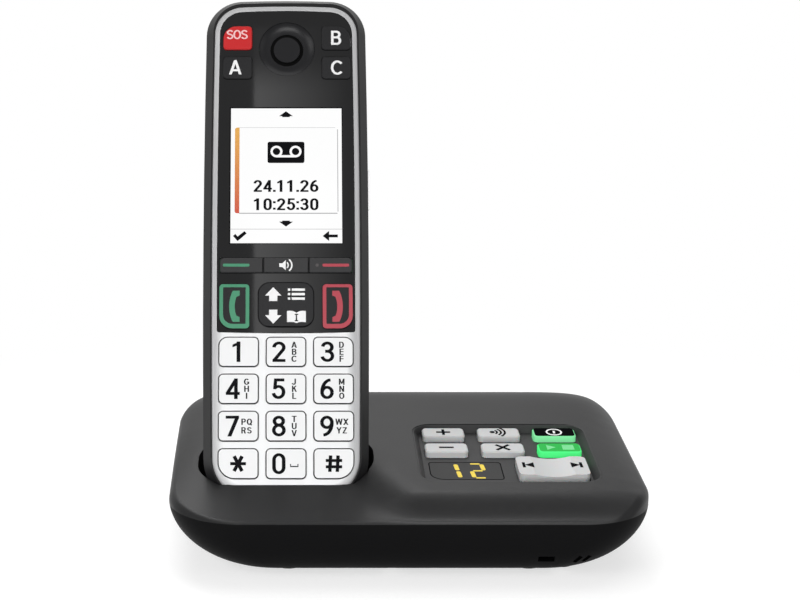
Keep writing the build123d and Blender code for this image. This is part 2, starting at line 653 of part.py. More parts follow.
SPEAKER_FRAME = 2.2  # height of its steel rim
SPEAKER_CONE = 15.0  # radius of the paper cone in it
SPEAKER_BASKET = 3.0
SPEAKER_MAGNET = (8.5, 4.0)
with BuildPart() as base_speaker:
    with BuildSketch(Plane.XY.offset(FLOOR_TOP)):
        with Locations(SPEAKER_PLACE):
            Circle(SPEAKER_RADIUS)
    extrude(amount=SPEAKER_FRAME)
    with BuildSketch(Plane.XY.offset(FLOOR_TOP)):
        with Locations(SPEAKER_PLACE):
            Circle(SPEAKER_CONE)
    extrude(amount=0.8, mode=Mode.SUBTRACT)
    with BuildSketch(Plane.XY.offset(FLOOR_TOP + SPEAKER_FRAME)):
        with Locations(SPEAKER_PLACE):
            Circle(SPEAKER_CONE)
    extrude(amount=SPEAKER_BASKET, taper=35)
    with BuildSketch(Plane.XY.offset(FLOOR_TOP + SPEAKER_FRAME + SPEAKER_BASKET)):
        with Locations(SPEAKER_PLACE):
            Circle(SPEAKER_MAGNET[0])
    extrude(amount=SPEAKER_MAGNET[1])
finish(base_speaker.part, "base_speaker")

head_bottom = FOOT_HEIGHT + SCREW_SINK[1] - SCREW_HEAD[1]
with BuildPart() as base_screws:
    with BuildSketch(Plane.XY.offset(head_bottom)):
        with Locations(*SCREW_PLACES):
            Circle(SCREW_HEAD[0])
    extrude(amount=SCREW_HEAD[1])
    with BuildSketch(Plane.XY.offset(head_bottom + SCREW_HEAD[1])):
        with Locations(*SCREW_PLACES):
            Circle(SCREW_RADIUS)
    extrude(amount=SCREW_LENGTH)
    # cross recess
    with BuildSketch(Plane.XY.offset(head_bottom)):
        with Locations(*SCREW_PLACES):
            Rectangle(3.2, 0.7)
            Rectangle(0.7, 3.2)
    extrude(amount=SCREW_HEAD[1] / 2, mode=Mode.SUBTRACT)
finish(base_screws.part, "base_screws")

# Two sprung contacts stand out of the cradle floor under the handset's pads.
PAD_SIZE = (4.8, 7.8, 1.0)
PAD_HEIGHT = HANDSET_BOTTOM + 0.5
CONTACT_LENGTH = 7.0
CONTACT_TOP = PAD_HEIGHT - 0.3
CONTACT_ROUND = 0.8
for name, side in (("charging_contact_left", -1), ("charging_contact_right", 1)):
    with BuildPart() as contact:
        with BuildSketch(across_handset(CONTACT_TOP - CONTACT_LENGTH)):
            with Locations((side * CONTACT_SPACING / 2, 0)):
                Rectangle(*CONTACT_SIZE)
        extrude(amount=CONTACT_LENGTH)
        fillet(contact.faces().sort_by(LENGTH_AXIS)[-1].edges(), CONTACT_ROUND)
    finish(contact.part, name)

# --------------------------------------------------------------- handset keys
# Each key: place, size and corner radii (top left, top right, bottom right, bottom left).
KEYPAD_KEYS = {}
KEYPAD_NAMES = (
    ("key_1", "key_2", "key_3"),
    ("key_4", "key_5", "key_6"),
    ("key_7", "key_8", "key_9"),
    ("key_star", "key_0", "key_hash"),
)
KEYPAD_BIG_CORNERS = {"key_1": (0, 3.0), "key_3": (1, 3.0), "key_hash": (2, 5.6), "key_star": (3, 5.6)}
for row, names in enumerate(KEYPAD_NAMES):
    for column, name in enumerate(names):
        radii = [KEYPAD_ROUND] * 4
        if name in KEYPAD_BIG_CORNERS:
            corner, radius = KEYPAD_BIG_CORNERS[name]
            radii[corner] = radius
        place = ((column - 1) * KEYPAD_X, KEYPAD_TOP_ROW - row * KEYPAD_Y)
        KEYPAD_KEYS[name] = (place, KEYPAD_SIZE, radii)

FRONT_KEYS = {
    "sos_key": ((-16.9, 156.2), (10.0, 8.6), (4.5, 1.2, 1.2, 1.2)),
    "key_a": ((-16.9, 145.3), (10.0, 8.0), (1.2, 1.2, 1.2, 1.2)),
    "key_b": ((17.5, 156.2), (10.0, 8.6), (1.2, 4.5, 1.2, 1.2)),
    "key_c": ((17.5, 145.3), (10.0, 8.0), (1.2, 1.2, 1.2, 1.2)),
    "talk_key": ((-17.6, 60.4), (10.4, 15.4), (1.5, 1.5, 1.5, 4.5)),
    "nav_key": ((0.0, 61.0), (19.0, 15.4), (4.0, 4.0, 4.0, 4.0)),
    "end_key": ((17.6, 60.4), (10.4, 15.4), (1.5, 1.5, 4.5, 1.5)),
}
# Three flat keys lie side by side in one long slot.
SOFT_KEYS = {
    "left_soft_key": ((-15.25, 74.7), (14.6, 5.2), (1.5, 0.5, 0.5, 1.0)),
    "speaker_key": ((0.0, 74.7), (15.3, 5.2), (0.5, 0.5, 0.5, 0.5)),
    "right_soft_key": ((15.25, 74.7), (14.6, 5.2), (0.5, 1.5, 1.0, 0.5)),
}
SOFT_SLOT = (45.1 + 2 * KEY_GAP, 5.2 + 2 * KEY_GAP)
KEY_EDGE = 0.25

# ------------------------------------------------------------- handset casing
BEZEL_OUTLINE = handset_face(BEZEL_INSET, BEZEL_BOTTOM, BEZEL_TOP, 13.5, 10.0)
LENS_OUTLINE = handset_face(LENS_INSET, LENS_BOTTOM, LENS_TOP, 0.8, 8.2)
LENS_LEDGE = 0.6
ROOM_OUTLINE = handset_face(BEZEL_INSET + 1.2, BEZEL_BOTTOM + 1.4, BEZEL_TOP - 1.4, 10.0, 9.0)
BATTERY_MIDDLE = BATTERY_BOTTOM + BATTERY_LENGTH / 2
BATTERY_ROOM = (4 * BATTERY_RADIUS + 1.0, BATTERY_LENGTH + 3.0)
BATTERY_ROOM_DEPTH = COVER_THICKNESS + 2 * BATTERY_RADIUS + 0.4
COVER_CORNER = 4.0
COVER_SLACK = 0.25
COVER_SEAT = 0.3  # how far the cover's seat lies under it
BACK_SLOT = (15.0, 1.5)  # sound slots over the hands-free loudspeaker
BACK_SLOT_PITCH = 3.4
PAD_WELL = (5.0, 8.0, 1.5)
HANDSET_SCREW = (1.0, 12.0)  # radius and length
HANDSET_SCREW_HEAD = (2.0, 1.6)
HANDSET_SCREW_SINK = (2.2, 3.1)
GRIP_RIB = (14.0, 1.2, 0.5)
GRIP_PITCH = 2.4
GRIP_BELOW = 20.0  # below the cover's middle
BACK = HANDSET.offset(-HANDSET_DEPTH)
cover_under = -HANDSET_DEPTH + COVER_THICKNESS
side_key_behind = SIDE_KEY_FRONT - SIDE_KEY_SIZE[2]

with BuildPart() as handset_back_shell:
    add(handset_blank())
    with BuildSketch(HANDSET.offset(-BEZEL_THICKNESS)):
        add(BEZEL_OUTLINE)
    extrude(amount=2 * BEZEL_THICKNESS, mode=Mode.SUBTRACT)
    # front room for keys, mat and board
    with BuildSketch(HANDSET.offset(CAVITY_FLOOR)):
        add(ROOM_OUTLINE)
    extrude(amount=-CAVITY_FLOOR, mode=Mode.SUBTRACT)
    # rear room for the hands-free loudspeaker, above the batteries
    with BuildSketch(HANDSET.offset(cover_under)):
        with Locations((0, REAR_ROOM_MIDDLE)):
            RectangleRounded(*REAR_ROOM)
    extrude(amount=-cover_under, mode=Mode.SUBTRACT)
    with BuildSketch(BACK):
        with Locations((0, SPEAKER_MIDDLE)):
            with GridLocations(0, BACK_SLOT_PITCH, 1, 5):
                SlotOverall(*BACK_SLOT)
    extrude(amount=2 * COVER_THICKNESS, mode=Mode.SUBTRACT)
    # battery room, open to the back, and the seat of its cover
    with BuildSketch(BACK):
        with Locations((0, BATTERY_MIDDLE)):
            Rectangle(*BATTERY_ROOM)
    extrude(amount=BATTERY_ROOM_DEPTH, mode=Mode.SUBTRACT)
    with BuildSketch(BACK):
        with Locations((0, COVER_MIDDLE)):
            RectangleRounded(*[size + 2 * COVER_SLACK for size in COVER_SIZE], COVER_CORNER + COVER_SLACK)
    extrude(amount=COVER_THICKNESS + COVER_SEAT, mode=Mode.SUBTRACT)
    # the two charging pads sit in shallow wells of the bottom end
    with BuildSketch(across_handset(HANDSET_BOTTOM - 1)):
        with GridLocations(CONTACT_SPACING, 0, 2, 1):
            Rectangle(PAD_WELL[0], PAD_WELL[1])
    extrude(amount=1 + PAD_WELL[2], mode=Mode.SUBTRACT)
    with Locations(*[BACK.location * Location((x, y, 0), (180, 0, 0)) for x, y in HANDSET_SCREWS]):
        CounterBoreHole(HANDSET_SCREW[0], *HANDSET_SCREW_SINK, 16)
    # slot of the side key, through the wall of the front room
    with BuildSketch(HANDSET.offset(side_key_behind - KEY_GAP)):
        with Locations((HALF_WIDTH, SIDE_KEY_MIDDLE)):
            Rectangle(10, SIDE_KEY_SIZE[1] + 3 * KEY_GAP)
    extrude(amount=SIDE_KEY_SIZE[2] + 2 * KEY_GAP, mode=Mode.SUBTRACT)
finish(handset_back_shell.part, "handset_back_shell")

with BuildPart() as battery_cover:
    with BuildSketch(BACK):
        with Locations((0, COVER_MIDDLE)):
            RectangleRounded(*COVER_SIZE, COVER_CORNER)
    extrude(amount=COVER_THICKNESS)
    chamfer(battery_cover.faces().sort_by(FACE_AXIS)[0].edges(), 0.4)
    # thumb grip ribs
    with BuildSketch(BACK):
        with Locations((0, COVER_MIDDLE - GRIP_BELOW)):
            with GridLocations(0, GRIP_PITCH, 1, 4):
                SlotOverall(GRIP_RIB[0], GRIP_RIB[1])
    extrude(amount=GRIP_RIB[2], mode=Mode.SUBTRACT)
finish(battery_cover.part, "battery_cover")

with BuildPart() as handset_bezel:
    with BuildSketch(HANDSET.offset(-BEZEL_THICKNESS)):
        add(BEZEL_OUTLINE)
    extrude(amount=BEZEL_THICKNESS)
    fillet(handset_bezel.faces().sort_by(FACE_AXIS)[-1].edges(), BEZEL_ROUND)
    with BuildSketch(HANDSET.offset(-LENS_THICKNESS)):
        add(LENS_OUTLINE)
    extrude(amount=LENS_THICKNESS, mode=Mode.SUBTRACT)
    with BuildSketch(HANDSET.offset(-BEZEL_THICKNESS)):
        add(handset_face(LENS_INSET + LENS_LEDGE, LENS_BOTTOM + 0.5, LENS_TOP - 1.0, 0.8, 7.4))
    extrude(amount=BEZEL_THICKNESS, mode=Mode.SUBTRACT)
    with BuildSketch(HANDSET.offset(-BEZEL_THICKNESS)):
        for place, size, radii in KEYPAD_KEYS.values():
            with Locations(place):
                add(soft_rectangle(*size, radii, KEY_GAP))
    extrude(amount=BEZEL_THICKNESS, mode=Mode.SUBTRACT)
finish(handset_bezel.part, "handset_bezel")

with BuildPart() as handset_lens:
    with BuildSketch(HANDSET.offset(-LENS_THICKNESS)):
        add(LENS_OUTLINE)
        for place, size, radii in FRONT_KEYS.values():
            with Locations(place):
                add(soft_rectangle(*size, radii, KEY_GAP), mode=Mode.SUBTRACT)
        with Locations((0, SOFT_KEYS["speaker_key"][0][1])):
            Rectangle(*SOFT_SLOT, mode=Mode.SUBTRACT)
        with Locations(EAR_PLACE):
            Circle(EAR_RADIUS, mode=Mode.SUBTRACT)
    extrude(amount=LENS_THICKNESS)
finish(handset_lens.part, "handset_lens")

# The ear cup: a shallow dish, a flat disc in its middle and the sound groove round that.
EAR_THICKNESS = 2.6
EAR_DISH_DEPTH = 1.5
EAR_DISC = (4.6, 0.9)  # radius, and how far it lies below the face
EAR_GROOVE = (5.8, 2.1)  # outer radius and depth
EAR_HOLE = 0.4
ear_side = EAR_RADIUS - 0.1
ear_middle = HANDSET.from_local_coords((EAR_PLACE[0], EAR_PLACE[1], 0))
with BuildPart() as earpiece_grille:
    with BuildSketch(Plane(origin=ear_middle, x_dir=(1, 0, 0), z_dir=HANDSET.y_dir)):
        with BuildLine():
            Polyline((0, EAR_DISC[1]), (0, EAR_THICKNESS), (ear_side, EAR_THICKNESS), (ear_side, 0.2))
            ThreePointArc((ear_side, 0.2), (8.0, 1.15), (EAR_GROOVE[0], EAR_DISH_DEPTH))
            Polyline(
                (EAR_GROOVE[0], EAR_DISH_DEPTH),
                EAR_GROOVE,
                (EAR_DISC[0], EAR_GROOVE[1]),
                EAR_DISC,
                (0, EAR_DISC[1]),
            )
        make_face()
    revolve(axis=Axis(ear_middle, HANDSET.z_dir))
    with BuildSketch(HANDSET.offset(-EAR_THICKNESS)):
        with Locations(EAR_PLACE):
            with PolarLocations((EAR_DISC[0] + EAR_GROOVE[0]) / 2, 6):
                Circle(EAR_HOLE)
    extrude(amount=EAR_THICKNESS - EAR_GROOVE[1], mode=Mode.SUBTRACT)
finish(earpiece_grille.part, "earpiece_grille")

with BuildPart() as display_module:
    with BuildSketch(HANDSET.offset(MAT_BOTTOM)):
        with Locations((0, DISPLAY_Y)):
            Rectangle(DISPLAY_SIZE[0] + DISPLAY_FRAME[0], DISPLAY_SIZE[1] + DISPLAY_FRAME[1])
    extrude(amount=-LENS_THICKNESS - MAT_BOTTOM)
finish(display_module.part, "display_module")

# Each front key is a rounded cap on a flange that is wider than its opening.
flange_bottom = CAP_BOTTOM - FLANGE - 0.1
for keys in (KEYPAD_KEYS, FRONT_KEYS, SOFT_KEYS):
    for name, (place, size, radii) in keys.items():
        with BuildPart() as cap:
            with BuildSketch(HANDSET.offset(flange_bottom)):
                with Locations(place):
                    add(soft_rectangle(*size, radii))
            extrude(amount=KEY_PROUD - flange_bottom)
            chamfer(cap.faces().sort_by(FACE_AXIS)[-1].edges(), KEY_EDGE)
            with BuildSketch(HANDSET.offset(flange_bottom)):
                with Locations(place):
                    if keys is SOFT_KEYS:
                        Rectangle(size[0], size[1] + 2 * FLANGE)
                    else:
                        add(soft_rectangle(*size, radii, FLANGE))
            extrude(amount=FLANGE)
        finish(cap.part, name)

# The volume rocker comes through the side wall, with its flange behind the wall.
with BuildPart() as side_key:
    with BuildSketch(HANDSET.offset(side_key_behind)):
        with Locations((SIDE_KEY_BACK + SIDE_KEY_SIZE[0] / 2, SIDE_KEY_MIDDLE)):
            RectangleRounded(SIDE_KEY_SIZE[0], SIDE_KEY_SIZE[1], 1.2)
    extrude(amount=SIDE_KEY_SIZE[2])
    with BuildSketch(HANDSET.offset(side_key_behind - FLANGE)):
        with Locations((SIDE_KEY_BACK + FLANGE / 2, SIDE_KEY_MIDDLE)):
            Rectangle(FLANGE, SIDE_KEY_SIZE[1] + 2 * FLANGE)
    extrude(amount=SIDE_KEY_SIZE[2] + 2 * FLANGE)
finish(side_key.part, "side_key")

# ----------------------------------------------------------- inside the handset
MAT_SIZE = (46.4, 78.6)
TOP_MATS = ((-16.9, 150.9), (17.5, 150.9))  # behind the emergency key and the direct keys
TOP_MAT_SIZE = (10.8, 19.4)
BOARD_OUTLINE = handset_face(BEZEL_INSET + 1.6, -0.5, BEZEL_TOP - 2.0, 8.0, 8.5)
EAR_SPEAKER = (8.5, 3.6, 2.6)  # radius, height and how far it lies below the face
SPEAKER_PLATE = (11.0, 2.0)
SPEAKER_PLATE_MAGNET = (7.0, 3.0)
HANDSET_CAN = ((0, 112), (26, 20))
HANDSET_CHIP = ((-10, 66), (12, 12))
MICROPHONE = ((8, 4), 2.2)
CELL_TIP = (1.9, 0.8)
CELL_SPACING = 2 * BATTERY_RADIUS + 0.3
SPRING_SIZE = (7.0, 7.0, 1.5)
cell_depth = cover_under + COVER_SEAT + BATTERY_RADIUS
cell_back = -HANDSET_DEPTH / 2 - cell_depth

with BuildPart() as handset_key_mat:
    with BuildSketch(HANDSET.offset(MAT_BOTTOM)):
        with Locations((0, MAT_SIZE[1] / 2)):
            RectangleRounded(*MAT_SIZE, 9)
        with Locations(*TOP_MATS):
            Rectangle(*TOP_MAT_SIZE)
    extrude(amount=MAT_TOP - MAT_BOTTOM)
finish(handset_key_mat.part, "handset_key_mat")

with BuildPart() as handset_circuit_board:
    with BuildSketch(HANDSET.offset(BOARD_BOTTOM)):
        add(BOARD_OUTLINE)
        with Locations(EAR_PLACE):
            Circle(EAR_SPEAKER[0] + 0.7, mode=Mode.SUBTRACT)
    extrude(amount=MAT_BOTTOM - BOARD_BOTTOM)
    with BuildSketch(HANDSET.offset(BOARD_BOTTOM)):
        for place, size in (HANDSET_CAN, HANDSET_CHIP):
            with Locations(place):
                Rectangle(*size)
        with Locations(MICROPHONE[0]):
            Circle(MICROPHONE[1])
    extrude(amount=-CHIP_HEIGHT)
finish(handset_circuit_board.part, "handset_circuit_board")

with BuildPart() as earpiece_speaker:
    with BuildSketch(HANDSET.offset(-EAR_SPEAKER[1] - EAR_SPEAKER[2])):
        with Locations(EAR_PLACE):
            Circle(EAR_SPEAKER[0])
    extrude(amount=EAR_SPEAKER[1])
finish(earpiece_speaker.part, "earpiece_speaker")

with BuildPart() as handsfree_speaker:
    with BuildSketch(HANDSET.offset(cover_under)):
        with Locations((0, SPEAKER_MIDDLE)):
            Circle(SPEAKER_PLATE[0])
    extrude(amount=SPEAKER_PLATE[1])
    with BuildSketch(HANDSET.offset(cover_under + SPEAKER_PLATE[1])):
        with Locations((0, SPEAKER_MIDDLE)):
            Circle(SPEAKER_PLATE_MAGNET[0])
    extrude(amount=SPEAKER_PLATE_MAGNET[1])
finish(handsfree_speaker.part, "handsfree_speaker")

with BuildPart() as battery_cells:
    with BuildSketch(across_handset(BATTERY_BOTTOM)):
        with Locations((0, cell_back)):
            with GridLocations(CELL_SPACING, 0, 2, 1):
                Circle(BATTERY_RADIUS)
    extrude(amount=BATTERY_LENGTH - CELL_TIP[1])
    with BuildSketch(across_handset(BATTERY_BOTTOM)):
        with Locations((0, cell_back)):
            with GridLocations(CELL_SPACING, 0, 2, 1):
                Circle(CELL_TIP[0])
    extrude(amount=BATTERY_LENGTH)
finish(battery_cells.part, "battery_cells")

with BuildPart() as battery_contacts:
    for end, side in ((BATTERY_BOTTOM, -1), (BATTERY_BOTTOM + BATTERY_LENGTH, 1)):
        with BuildSketch(across_handset(end)):
            with Locations((0, cell_back)):
                with GridLocations(CELL_SPACING, 0, 2, 1):
                    Rectangle(SPRING_SIZE[0], SPRING_SIZE[1])
        extrude(amount=side * SPRING_SIZE[2])
finish(battery_contacts.part, "battery_contacts")

with BuildPart() as charging_pads:
    with BuildSketch(across_handset(PAD_HEIGHT)):
        with GridLocations(CONTACT_SPACING, 0, 2, 1):
            Rectangle(PAD_SIZE[0], PAD_SIZE[1])
    extrude(amount=PAD_SIZE[2])
finish(charging_pads.part, "charging_pads")

with BuildPart() as handset_screws:
    with BuildSketch(HANDSET.offset(-HANDSET_DEPTH + HANDSET_SCREW_SINK[1] - HANDSET_SCREW_HEAD[1])):
        with Locations(*HANDSET_SCREWS):
            Circle(HANDSET_SCREW_HEAD[0])
    extrude(amount=HANDSET_SCREW_HEAD[1])
    with BuildSketch(HANDSET.offset(-HANDSET_DEPTH + HANDSET_SCREW_SINK[1])):
        with Locations(*HANDSET_SCREWS):
            Circle(HANDSET_SCREW[0])
    extrude(amount=HANDSET_SCREW[1])
finish(handset_screws.part, "handset_screws")
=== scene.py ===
import json
from math import cos, radians, sin, sqrt

import bmesh
import bpy
from mathutils import Matrix, Vector
from mathutils.geometry import delaunay_2d_cdt


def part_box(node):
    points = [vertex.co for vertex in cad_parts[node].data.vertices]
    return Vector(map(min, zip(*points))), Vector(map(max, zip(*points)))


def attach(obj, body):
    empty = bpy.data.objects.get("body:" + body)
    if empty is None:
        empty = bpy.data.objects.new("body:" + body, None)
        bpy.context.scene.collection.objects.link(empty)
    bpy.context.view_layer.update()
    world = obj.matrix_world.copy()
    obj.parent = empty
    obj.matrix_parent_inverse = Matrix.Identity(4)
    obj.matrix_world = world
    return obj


# A cordless telephone standing in the cradle of its answering-machine base.
# Lengths are metres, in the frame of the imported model; mm turns a drawing size into metres.
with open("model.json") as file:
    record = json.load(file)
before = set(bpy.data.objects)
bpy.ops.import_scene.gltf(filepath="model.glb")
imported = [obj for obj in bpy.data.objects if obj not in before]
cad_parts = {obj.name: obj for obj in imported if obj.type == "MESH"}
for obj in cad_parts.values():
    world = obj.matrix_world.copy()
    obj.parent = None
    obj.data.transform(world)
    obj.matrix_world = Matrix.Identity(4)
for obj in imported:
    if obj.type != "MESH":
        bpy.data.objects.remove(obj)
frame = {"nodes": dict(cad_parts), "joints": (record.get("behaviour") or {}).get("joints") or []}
nodes = frame["nodes"]
axis = {joint["name"]: Vector(joint["axis"]) for joint in frame["joints"]}
scene = bpy.context.scene
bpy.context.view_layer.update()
mm = 0.001

# ------------------------------------------------------------------- camera
# A long lens on a stand a little above the handset's middle, looking down at
# the base; the picture is shifted so that the handset stands left of centre.
CAMERA_PLACE = (-0.0409, -0.6062, 0.2168)
CAMERA_DOWN = 12.5  # degrees
camera_data = bpy.data.cameras.new("camera")
camera_data.sensor_width = 36.0
camera_data.lens = 81.0
camera_data.shift_x = 0.1425
camera = bpy.data.objects.new("camera", camera_data)
camera.location = CAMERA_PLACE
camera.rotation_euler = (radians(90 - CAMERA_DOWN), 0, 0)
scene.collection.objects.link(camera)
scene.camera = camera
scene.view_settings.view_transform = "Standard"

# ------------------------------------------------------------------- studio
# A white table that keeps a soft shadow near the telephone and runs out into
# plain white, with soft boxes above, at both sides, behind and low in front.
TABLE_HALF = 3.0
TABLE_GREY = (0.5, 0.5, 0.5, 1)
TABLE_GLOW = 0.61
SHADOW_REACH = (0.12, 0.30)
ROOM_LIGHT = 0.25
WHITE = (1, 1, 1, 1)


def wired(tree, kind, *values, operation=None, **named):
    """A new node; each input given, in order or by name, is a constant or another node's output."""
    node = tree.nodes.new(kind)
    if operation:
        node.operation = operation
    given = [*zip(node.inputs, values)] + [(node.inputs[name], value) for name, value in named.items()]
    for socket, value in given:
        if isinstance(value, bpy.types.NodeSocket):
            tree.links.new(value, socket)
        elif value is not None:
            socket.default_value = value
    return node


def computed(tree, operation, *values):
    return wired(tree, "ShaderNodeMath", *values, operation=operation).outputs["Value"]


def measured(tree, operation, *vectors):
    """A number worked out from vectors, such as a length or a dot product."""
    return wired(tree, "ShaderNodeVectorMath", *vectors, operation=operation).outputs["Value"]


def ranged(tree, value, limits, results=(0.0, 1.0), smooth=False):
    """A value carried from between two limits to between two results."""
    ends = dict(zip(("From Min", "From Max", "To Min", "To Max"), (*limits, *results)))
    scale = wired(tree, "ShaderNodeMapRange", value, **ends)
    if smooth:
        scale.interpolation_type = "SMOOTHSTEP"
    return scale.outputs["Result"]


def seen_ray(tree):
    """1 for rays that show the studio itself: seen directly, mirrored or through something clear."""
    path = tree.nodes.new("ShaderNodeLightPath")
    either = computed(tree, "MAXIMUM", path.outputs["Is Camera Ray"], path.outputs["Is Glossy Ray"])
    return computed(tree, "MAXIMUM", either, path.outputs["Is Transmission Ray"])


def studio_sheet(name, corners):
    """A flat four-cornered piece of the studio and the empty node tree of its material."""
    material = bpy.data.materials.new(name)
    material.use_nodes = True
    material.node_tree.nodes.clear()
    mesh = bpy.data.meshes.new(name)
    mesh.from_pydata(corners, [], [(0, 1, 2, 3)])
    mesh.materials.append(material)
    sheet = bpy.data.objects.new(name, mesh)
    scene.collection.objects.link(sheet)
    return sheet, material.node_tree


table_corners = [(x * TABLE_HALF, y * TABLE_HALF, 0) for x, y in ((-1, -1), (1, -1), (1, 1), (-1, 1))]
table, tree = studio_sheet("table", table_corners)
where = tree.nodes.new("ShaderNodeNewGeometry")
away = ranged(tree, measured(tree, "LENGTH", where.outputs["Position"]), SHADOW_REACH, smooth=True)
paint = wired(tree, "ShaderNodeBsdfDiffuse", TABLE_GREY)
glow = wired(tree, "ShaderNodeEmission", WHITE, computed(tree, "MULTIPLY", seen_ray(tree), TABLE_GLOW))
near = wired(tree, "ShaderNodeAddShader", paint.outputs["BSDF"], glow.outputs["Emission"])
far = wired(tree, "ShaderNodeEmission", WHITE, seen_ray(tree))
blend = wired(tree, "ShaderNodeMixShader", away, near.outputs["Shader"], far.outputs["Emission"])
wired(tree, "ShaderNodeOutputMaterial", blend.outputs["Shader"])

world = bpy.data.worlds.new("studio")
scene.world = world
world.use_nodes = True
tree = world.node_tree
background = tree.nodes["Background"]
background.inputs["Color"].default_value = WHITE
room_level = ranged(tree, seen_ray(tree), (0.0, 1.0), (ROOM_LIGHT, 1.0))
tree.links.new(room_level, background.inputs["Strength"])


def soft_box(name, place, aim, size, power):
    lamp = bpy.data.lights.new(name, "AREA")
    lamp.shape = "RECTANGLE"
    lamp.size = size[0]
    lamp.size_y = size[1]
    lamp.energy = power
    stand = bpy.data.objects.new(name, lamp)
    stand.location = place
    stand.rotation_euler = (Vector(aim) - Vector(place)).to_track_quat("-Z", "Y").to_euler()
    scene.collection.objects.link(stand)


soft_box("lamp_above", (0.10, 0.25, 1.00), (0.0, 0.0, 0.03), size=(0.9, 0.7), power=4)
soft_box("lamp_front", (-0.10, -1.50, 0.35), (-0.03, 0.0, 0.10), size=(0.9, 0.5), power=15)
soft_box("lamp_left", (-0.85, -0.60, 0.55), (-0.03, 0.0, 0.08), size=(0.6, 0.6), power=4.5)
soft_box("lamp_right", (0.95, -0.55, 0.55), (0.0, 0.0, 0.08), size=(0.5, 0.6), power=1.2)
soft_box("lamp_back", (-0.20, 0.75, 0.95), (0.0, 0.0, 0.03), size=(0.7, 0.4), power=6)

# A narrow strip light stands high behind the camera; the lens mirrors its sharp
# left edge, and it fades out towards its right and its upper end.
STRIP_LEFT, STRIP_RIGHT = -0.0714, 0.0175
STRIP_TOP, STRIP_BOTTOM = (-0.772, 0.926), (-0.960, 0.620)
STRIP_LEVEL = 3.0  # above the room's own white
UPPER_FADE = (0.870, 0.905)  # heights between which the upper end fades
UPPER_REST = 0.12  # share of the light that is left above them
strip_corners = [(STRIP_LEFT, *STRIP_BOTTOM), (STRIP_LEFT, *STRIP_TOP)]
strip_corners += [(STRIP_RIGHT, *STRIP_TOP), (STRIP_RIGHT, *STRIP_BOTTOM)]
strip_light, tree = studio_sheet("strip_light", strip_corners)
where = tree.nodes.new("ShaderNodeNewGeometry")
axes = wired(tree, "ShaderNodeSeparateXYZ", where.outputs["Position"])
aside = ranged(tree, axes.outputs["X"], (STRIP_LEFT, STRIP_RIGHT), (STRIP_LEVEL, 0.0))
aloft = ranged(tree, axes.outputs["Z"], UPPER_FADE, (1.0, UPPER_REST), smooth=True)
level = computed(tree, "ADD", computed(tree, "MULTIPLY", aside, aloft), 1.0)
glow = wired(tree, "ShaderNodeEmission", WHITE, level)
wired(tree, "ShaderNodeOutputMaterial", glow.outputs["Emission"])
strip_light.visible_camera = False

# ------------------------------------------------------------ base housings
# Two moulded halves in anthracite plastic, parted just above the bowl and
# screwed together from below; the tool's fine spark texture makes them satin.
BASE_COLOUR = (0.012, 0.012, 0.0124)
GRAIN_PITCH = 0.45 * mm
GRAIN_SHARE = 0.6  # of the grain in the drift of the colour, where the cloud has 1
LEAST_GAIN = 0.9  # about what the colour is multiplied by where it is darkest


def node_group(name, inputs, outputs):
    """A node group with named sockets, and the nodes that stand for its two ends."""
    group = bpy.data.node_groups.new(name, "ShaderNodeTree")
    for way, sockets in (("INPUT", inputs), ("OUTPUT", outputs)):
        for socket, kind in sockets.items():
            group.interface.new_socket(socket, in_out=way, socket_type=kind)
    return group, group.nodes.new("NodeGroupInput"), group.nodes.new("NodeGroupOutput")


def object_place(tree):
    return tree.nodes.new("ShaderNodeTexCoord").outputs["Object"]


def grain_group():
    """Fine moulding grain: slow drift of the colour, uneven gloss and a grain that lifts the skin."""
    colour, number = "NodeSocketColor", "NodeSocketFloat"
    group, given, result = node_group(
        "moulding_grain",
        {"Colour": colour, "Drift": number, "Gloss": number, "Unevenness": number, "Grain per metre": number},
        {"Colour": colour, "Roughness": number, "Height": number},
    )
    place = object_place(group)
    cloud = wired(group, "ShaderNodeTexNoise", place, Scale=38.0, Detail=4.0)
    grain = wired(group, "ShaderNodeTexNoise", place, Detail=3.0, Roughness=0.6)
    group.links.new(given.outputs["Grain per metre"], grain.inputs["Scale"])
    # colour drifts round the given one, by the cloud and a little by the grain
    swing = computed(group, "SUBTRACT", cloud.outputs["Fac"], 0.5)
    speck = computed(group, "MULTIPLY_ADD", grain.outputs["Fac"], GRAIN_SHARE, swing)
    drift = computed(group, "MULTIPLY", speck, given.outputs["Drift"])
    gain = computed(group, "ADD", drift, LEAST_GAIN)
    tint = wired(group, "ShaderNodeVectorMath", given.outputs["Colour"], operation="SCALE", Scale=gain)
    group.links.new(tint.outputs["Vector"], result.inputs["Colour"])
    # gloss is uneven by the cloud alone
    gloss = computed(group, "MULTIPLY_ADD", swing, given.outputs["Unevenness"], given.outputs["Gloss"])
    group.links.new(gloss, result.inputs["Roughness"])
    group.links.new(grain.outputs["Fac"], result.inputs["Height"])
    return group


moulding_grain = grain_group()


def placed(tree, group, values):
    """A group placed in a material with its own values."""
    node = tree.nodes.new("ShaderNodeGroup")
    node.node_tree = group
    for name, value in values.items():
        node.inputs[name].default_value = value
    return node


def shader_inputs(material):
    return material.node_tree.nodes["Principled BSDF"].inputs


def grain_colour(material):
    return material.node_tree.nodes["Group"].outputs["Colour"]


